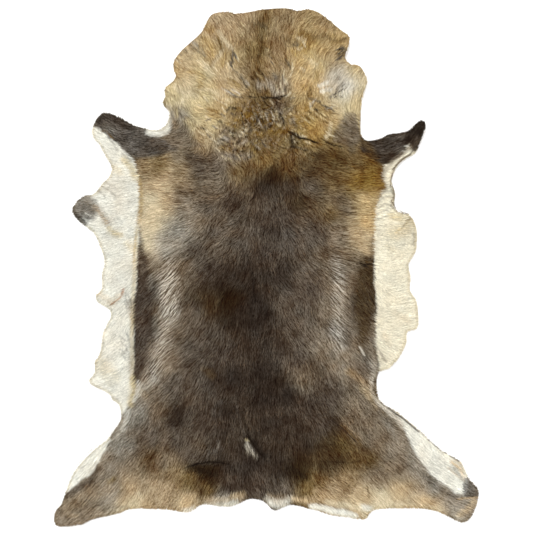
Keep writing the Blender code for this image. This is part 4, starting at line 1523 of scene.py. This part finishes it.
def by_curl(values, curl):
    """What holds for smooth fur, and what is added to it where the fur is curly."""
    smooth, curly = values
    return smooth + curly * curl


def lock_spines(layer, roots, normals, growth, clumps, curly_clumps, chance):
    """Each lock's points from root to tip, the directions across it, and where it heads."""
    _, _, sections, _, length_share, lift_share, _, _ = layer
    (centre, own), (curly_centre, curly_own) = clumps, curly_clumps
    count = len(roots)
    length = growth[:, 0] * length_share * chance.uniform(*LENGTH_SPREAD, count)
    lift = growth[:, 1] * lift_share * chance.uniform(*LIFT_SPREAD, count)
    curl = growth[:, 2]
    heading = np.arctan2(growth[:, 4], growth[:, 3])
    heading += chance.normal(0, by_curl(LOCK_HEADING, curl), count)
    heading += (own[:, 0] - 0.5) * by_curl(CLUMP_HEADING, curl)
    heading += (curly_own[:, 0] - 0.5) * CURL_SPREAD * curl
    turn = by_curl(LOCK_TURN, curl) * chance.uniform(-1, 1, count)
    turn += curl * (curly_own[:, 1] - 0.5) * CURL_TURN
    flow = np.column_stack([np.cos(heading), np.sin(heading), np.zeros(count)])
    along = flow - normals * np.sum(flow * normals, axis=1, keepdims=True)
    along /= np.linalg.norm(along, axis=1, keepdims=True)
    sideways = np.cross(normals, along)
    roll = np.radians(ROLL) * chance.uniform(-1, 1, count)
    spine, across = [roots], []
    for k in range(sections):
        share = (k + 0.5) / sections
        forward, outward = turned(along, sideways, turn * share)
        across.append(turned(outward, normals, roll)[0])
        step = turned(forward, normals, lift * (1 - FLATTENING * share))[0]
        spine.append(spine[-1] + step * (length / sections)[:, None])
    pull = CLUMP_PULL * (centre - roots[:, :2])
    pull += CURL_PULL * curl[:, None] * (curly_centre - roots[:, :2])
    for k in range(1, sections + 1):
        spine[k][:, :2] += pull * (k / sections) ** PULL_POWER
    return np.stack(spine, axis=1), np.stack(across, axis=1), flow[:, :2]


def lock_colours(layer, spine, flow, curl, own, curly_own, chart, chance):
    """Each lock's colours from root to tip, from the chart below it and from chance."""
    _, _, sections, _, _, _, _, shade = layer
    count = len(spine)
    shift = (FEATHER * chance.normal(0, 1, count))[:, None, None] * flow[:, None]
    middle = spine[..., :2].mean(axis=1, keepdims=True)
    spots = middle + COLOUR_REACH * (spine[..., :2] - middle) - shift
    colours = chart.at(chart.colour, spots)
    first, full = TINTED_CURL
    tinted = smooth_step((curl - first) / (full - first))
    taken = 0
    for tone, portion, strength in CURL_TINTS:
        chosen = (curly_own[:, 2] >= taken) & (curly_own[:, 2] < taken + portion)
        share = (strength * chosen * tinted)[:, None, None]
        colours = colours + share * (TONE[tone] - colours)
        taken += portion
    variety = by_curl(LOCK_BRIGHTNESS, curl) * chance.uniform(-EVEN_REACH, EVEN_REACH, count)
    variety = (variety + CLUMP_BRIGHTNESS * (own[:, 2] - 0.5))[:, None]
    ridges = by_curl(RIDGE_BRIGHTNESS, curl)[:, None] * chart.at(chart.ridges, spots)
    variety = variety + ridges + HAIR_BRIGHTNESS * chart.at(chart.hairs, spots)
    shades = np.array(LOCK_SHADES[sections]) * shade
    shades = np.stack([shaded(s, colours[:, k]) for k, s in enumerate(shades)], axis=1)
    return np.clip(varied(colours, variety) * shades[..., None], 0, BRIGHTEST)


def grow(layer, roots, normals, growth, chart, chance, material):
    """Grows a layer's locks from the roots along the flow, drawn together in clumps."""
    name, _, sections, width, _, _, _, _ = layer
    order, side = atlas_order(roots)
    roots, normals, growth = roots[order], normals[order], growth[order]
    clumps = clump_centres(roots[:, :2], CLUMP_SIZE, SEEDS["clumps"])
    curly_clumps = clump_centres(roots[:, :2], CURL_CLUMP_SIZE, SEEDS["curly clumps"])
    spine, across, flow = lock_spines(
        layer, roots, normals, growth, clumps, curly_clumps, chance
    )
    spine = kept_within(chart, spine)
    spine[..., 2] = np.maximum(spine[..., 2], MERGE)
    widths = lock_widths(sections, width * MM, len(roots), chance)
    colours = lock_colours(
        layer, spine, flow, growth[:, 2], clumps[1], curly_clumps[1], chart, chance
    )
    return lock_mesh(name, spine, across, widths, colours, side, material)


def lock_widths(sections, width, count, chance):
    """Each lock's width at each of its sections."""
    return np.array(LOCK_WIDTHS[sections]) * (width * chance.uniform(*WIDTH_SPREAD, count))[:, None]


def turned(along, aside, angle):
    """Two directions at right angles, turned by the angle from the first towards the second."""
    cosine, sine = np.cos(angle)[:, None], np.sin(angle)[:, None]
    return along * cosine + aside * sine, aside * cosine - along * sine


def kept_within(chart, spine):
    """Shortens the locks that would reach past the hide's outline."""
    root = chart.at(chart.depth, spine[:, 0, :2])
    tip = chart.at(chart.depth, spine[:, -1, :2])
    share = np.ones(len(spine))
    past = tip < -OVERHANG
    share[past] = (root[past] + OVERHANG) / np.maximum(root[past] - tip[past], MERGE)
    share = np.clip(share, LEAST_SHARE, 1)
    return spine[:, :1] + (spine - spine[:, :1]) * share[:, None, None]


def build_coat(chart, top, faces, pile, material):
    made = []
    for n, layer in enumerate(LAYERS):
        name, count, _, _, _, _, height, _ = layer
        chance = np.random.default_rng(SEEDS["layers"] + n)
        chosen = faces
        if name == MANE_LAYER:
            curl = chart.at(chart.growth, top[faces].mean(axis=1)[:, :2])[:, 2]
            chosen = faces[curl > MANE_CURL]
        roots, normals, depth = scattered(top, chosen, pile, count, chance)
        roots = roots + normals * (depth * height * (1 - UNDERFUR_SHARE))[:, None]
        growth = chart.at(chart.growth, roots[:, :2])
        made.append(grow(layer, roots, normals, growth, chart, chance, material))
    return made


def along_path(path, distances):
    """Points at the distances along the path, which runs on straight past both its ends."""
    steps = np.linalg.norm(np.diff(path, axis=0), axis=1)
    run = np.concatenate([[0], np.cumsum(steps)])
    spots = np.stack([np.interp(distances, run, path[:, axis]) for axis in (0, 1)], axis=-1)
    before, after = np.minimum(distances, 0), np.maximum(distances - run[-1], 0)
    spots += before[..., None] * (path[1] - path[0]) / steps[0]
    return spots + after[..., None] * (path[-1] - path[-2]) / steps[-1]


def mark_paths(chart, chance):
    """Locks drawn along the fine strokes: their points seen from above, tones and widths."""
    plans, tints, widths = [], [], []
    for tone, style, strength, path in single_strokes():
        if style not in MARKS:
            continue
        density, width, stray = MARKS[style]
        line = np.array(path, float) * MM
        middle = line.mean(axis=0)
        if (line[-1] - line[0]) @ chart.at(chart.growth, middle[None])[0, 3:5] < 0:
            line = line[::-1]
        run = np.linalg.norm(np.diff(line, axis=0), axis=1).sum()
        count = max(FEWEST_MARKS, int(strength * density * run / MM))
        length = MARK_LENGTH * chance.uniform(*MARK_SPREAD, count)
        start = chance.uniform(-MARK_OVERLAP, 1, count) * (run - MARK_OVERLAP * length)
        distances = start[:, None] + length[:, None] * np.linspace(0, 1, MARK_SECTIONS + 1)
        spots = along_path(line, distances) + chance.normal(0, stray * MM, (count, 1, 2))
        spots += chance.normal(0, MARK_WAVE * stray * MM, spots.shape)
        plans.append(spots)
        tints.append(np.tile(TONE[tone], (count, 1)))
        widths.append(np.full(count, width * MM))
    return np.concatenate(plans), np.concatenate(tints), np.concatenate(widths)


def mark_heights(plan, chart, top, pile, chance):
    """How high these locks lie: over the roots of the topmost layer of the coat."""
    ground = KDTree(len(top))
    for k, point in enumerate(top):
        ground.insert((point[0], point[1], 0), k)
    ground.balance()
    topmost = TOPMOST * (1 - UNDERFUR_SHARE)
    heights = np.array([
        [top[k, 2] + topmost * pile[k] for k in (ground.find((x, y, 0))[1] for x, y in lock)]
        for lock in plan
    ])
    heights += MARK_LIFT * chart.at(chart.growth, plan)[..., 0]
    return heights + chance.uniform(*MARK_HEIGHT, len(plan))[:, None]


def build_marks(chart, top, pile, material):
    """Locks laid along the fine strokes, on top of the coat, some of them painted shadow."""
    chance = np.random.default_rng(SEEDS["marks"])
    plan, tint, width = mark_paths(chart, chance)
    order, side = atlas_order(plan[:, 0])
    plan, tint, width = plan[order], tint[order], width[order]
    heights = mark_heights(plan, chart, top, pile, chance)
    spine = kept_within(chart, np.concatenate([plan, heights[..., None]], axis=2))
    ahead = np.diff(spine[..., :2], axis=1)
    across = np.stack([-ahead[..., 1], ahead[..., 0], np.zeros_like(ahead[..., 0])], axis=2)
    across /= np.linalg.norm(across, axis=2, keepdims=True)
    widths = lock_widths(MARK_SECTIONS, width, len(plan), chance)
    bright = np.exp(MARK_BRIGHTNESS * chance.normal(0, 1, len(plan)))[:, None]
    bright = bright * np.array(LOCK_SHADES[MARK_SECTIONS])
    colours = np.clip(tint[:, None] * bright[..., None], 0, BRIGHTEST)
    return lock_mesh(MARK_LAYER, spine, across, widths, colours, side, material)


def build_rim(chart, top, rim, material):
    """The fringe of short locks along the hide's cut edge."""
    count = RIM_LAYER[1]
    chance = np.random.default_rng(SEEDS["rim"])
    start, end = top[rim[:, 0]], top[rim[:, 1]]
    run = np.linalg.norm(end - start, axis=1)
    picked = chance.choice(len(rim), count, p=run / run.sum())
    share = chance.uniform(0, 1, count)[:, None]
    roots = start[picked] * (1 - share) + end[picked] * share
    along = (end - start)[picked] / run[picked][:, None]
    outwards = np.column_stack([along[:, 1], -along[:, 0]])
    roots[:, :2] -= outwards * chance.uniform(0, RIM_INSET, count)[:, None]
    roots[:, 2] -= chance.uniform(0, SKIN, count)
    growth = chart.at(chart.growth, roots[:, :2])
    growth[:, 3:5] += outwards * RIM_OUTWARDS + RIM_STRAY * chance.normal(0, 1, (count, 2))
    growth[:, 0] = RIM_LENGTH
    normals = np.tile([0.0, 0.0, 1.0], (count, 1))
    return grow(RIM_LAYER, roots, normals, growth, chart, chance, material)


# ---- Materials ----
def new_material(name):
    roughness, sheen = FINISHES[name]
    made = bpy.data.materials.new(name)
    made.use_nodes = True
    shader = made.node_tree.nodes["Principled BSDF"]
    shader.inputs["Roughness"].default_value = roughness
    shader.inputs["Specular IOR Level"].default_value = GLOSS
    shader.inputs["Sheen Weight"].default_value = sheen
    shader.inputs["Sheen Roughness"].default_value = SHEEN_ROUGHNESS
    return made, made.node_tree, shader


def noise_node(tree, scale, detail):
    place = tree.nodes.new("ShaderNodeTexCoord")
    noise = tree.nodes.new("ShaderNodeTexNoise")
    noise.inputs["Scale"].default_value = scale
    noise.inputs["Detail"].default_value = detail
    tree.links.new(place.outputs["Object"], noise.inputs["Vector"])
    return noise.outputs["Fac"]


def noise_between(tree, scale, detail, low, high):
    """Noise over the material, spread out from low to high."""
    made = tree.nodes.new("ShaderNodeMapRange")
    made.inputs["From Min"].default_value = NOISE_RANGE[0]
    made.inputs["From Max"].default_value = NOISE_RANGE[1]
    made.inputs["To Min"].default_value = low
    made.inputs["To Max"].default_value = high
    tree.links.new(noise_node(tree, scale, detail), made.inputs["Value"])
    return made.outputs["Result"]


def scaled(tree, colour, factor):
    made = tree.nodes.new("ShaderNodeVectorMath")
    made.operation = "SCALE"
    tree.links.new(colour, made.inputs[0])
    tree.links.new(factor, made.inputs["Scale"])
    return made.outputs["Vector"]


def bumped(tree, shader, scale, detail, distance):
    made = tree.nodes.new("ShaderNodeBump")
    made.inputs["Distance"].default_value = distance
    made.inputs["Strength"].default_value = 1
    tree.links.new(noise_node(tree, scale, detail), made.inputs["Height"])
    tree.links.new(made.outputs["Normal"], shader.inputs["Normal"])


def coat_colour(tree):
    made = tree.nodes.new("ShaderNodeAttribute")
    made.attribute_name = "coat"
    return made.outputs["Color"]


def fur_material():
    """Locks: the painted colour, broken by fine hair, duller and glossier from hair to hair."""
    made, tree, shader = new_material("fur")
    colour = scaled(tree, coat_colour(tree), noise_between(tree, *FINE_HAIR))
    colour = scaled(tree, colour, noise_between(tree, *FUR_PATCHES))
    tree.links.new(colour, shader.inputs["Base Color"])
    tree.links.new(noise_between(tree, *FUR_ROUGHNESS), shader.inputs["Roughness"])
    return made


def underfur_material():
    """Underfur: darker than the locks above it by painted shade, matted and woolly."""
    made, tree, shader = new_material("underfur")
    colour = scaled(tree, coat_colour(tree), noise_between(tree, *WOOL))
    tree.links.new(colour, shader.inputs["Base Color"])
    bumped(tree, shader, *WOOL_BUMP)
    return made


def leather_material():
    """Skin side: pale tanned suede with a fine nap, faint creases and yellower stretches."""
    made, tree, shader = new_material("leather")
    tint = tree.nodes.new("ShaderNodeValToRGB")
    for stop, (position, colour) in zip(tint.color_ramp.elements, LEATHER_TONES):
        stop.position = position
        stop.color = (*linear(colour), 1)
    tree.links.new(noise_node(tree, *LEATHER_BLOTCHES), tint.inputs["Fac"])
    colour = scaled(tree, tint.outputs["Color"], noise_between(tree, *NAP))
    tree.links.new(colour, shader.inputs["Base Color"])
    tree.links.new(noise_between(tree, *LEATHER_ROUGHNESS), shader.inputs["Roughness"])
    bumped(tree, shader, *LEATHER_BUMP)
    return made


# ---- Stage ----
def build_floor():
    bpy.ops.mesh.primitive_plane_add(size=FLOOR_SIZE, location=(0, 0, -FLOOR_DEPTH))
    floor = bpy.context.object
    floor.name = "floor"
    made, _, shader = new_material("floor")
    shader.inputs["Base Color"].default_value = (1, 1, 1, 1)
    shader.inputs["Specular IOR Level"].default_value = 0
    floor.data.materials.append(made)


def build_light():
    scene = bpy.context.scene
    scene.world = bpy.data.worlds.new("studio")
    scene.world.use_nodes = True
    background = scene.world.node_tree.nodes["Background"]
    background.inputs["Color"].default_value = (1, 1, 1, 1)
    background.inputs["Strength"].default_value = SKY_STRENGTH
    sun = bpy.data.lights.new("key", "SUN")
    sun.energy = SUN_STRENGTH
    sun.angle = math.radians(SUN_WIDTH)
    made = bpy.data.objects.new("key", sun)
    made.rotation_euler = Vector(SUN_DIRECTION).to_track_quat("-Z", "Y").to_euler()
    scene.collection.objects.link(made)
    scene.view_settings.view_transform = "Standard"


def build_camera():
    camera = bpy.data.cameras.new("camera")
    camera.lens = LENS
    camera.sensor_width = SENSOR
    made = bpy.data.objects.new("camera", camera)
    distance = PHOTO_PIXELS * PIXEL * LENS / SENSOR
    made.location = (*CAMERA_CENTRE, distance + COAT_LEVEL)
    bpy.context.scene.collection.objects.link(made)
    bpy.context.scene.camera = made


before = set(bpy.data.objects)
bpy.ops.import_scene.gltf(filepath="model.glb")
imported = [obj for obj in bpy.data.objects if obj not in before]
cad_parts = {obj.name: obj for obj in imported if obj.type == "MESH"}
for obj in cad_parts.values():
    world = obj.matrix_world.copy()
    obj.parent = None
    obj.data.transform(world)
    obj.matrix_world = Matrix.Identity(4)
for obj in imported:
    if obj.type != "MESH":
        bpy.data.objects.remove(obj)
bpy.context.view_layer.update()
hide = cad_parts["hide"]
pattern = skin_pattern(hide)
faces = pattern[2]
rim = rim_edges(faces)
chart = Chart(*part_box("hide"), pattern[0][rim][..., :2])
skin, top, pile = build_skin(pattern, rim, chart)
fur = fur_material()
coat = build_coat(chart, top, faces, pile, fur)
coat.append(build_rim(chart, top, rim, fur))
coat.append(build_marks(chart, top, pile, fur))
for piece in [skin, *coat]:
    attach(piece, "root")
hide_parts("hide")
build_floor()
build_light()
build_camera()
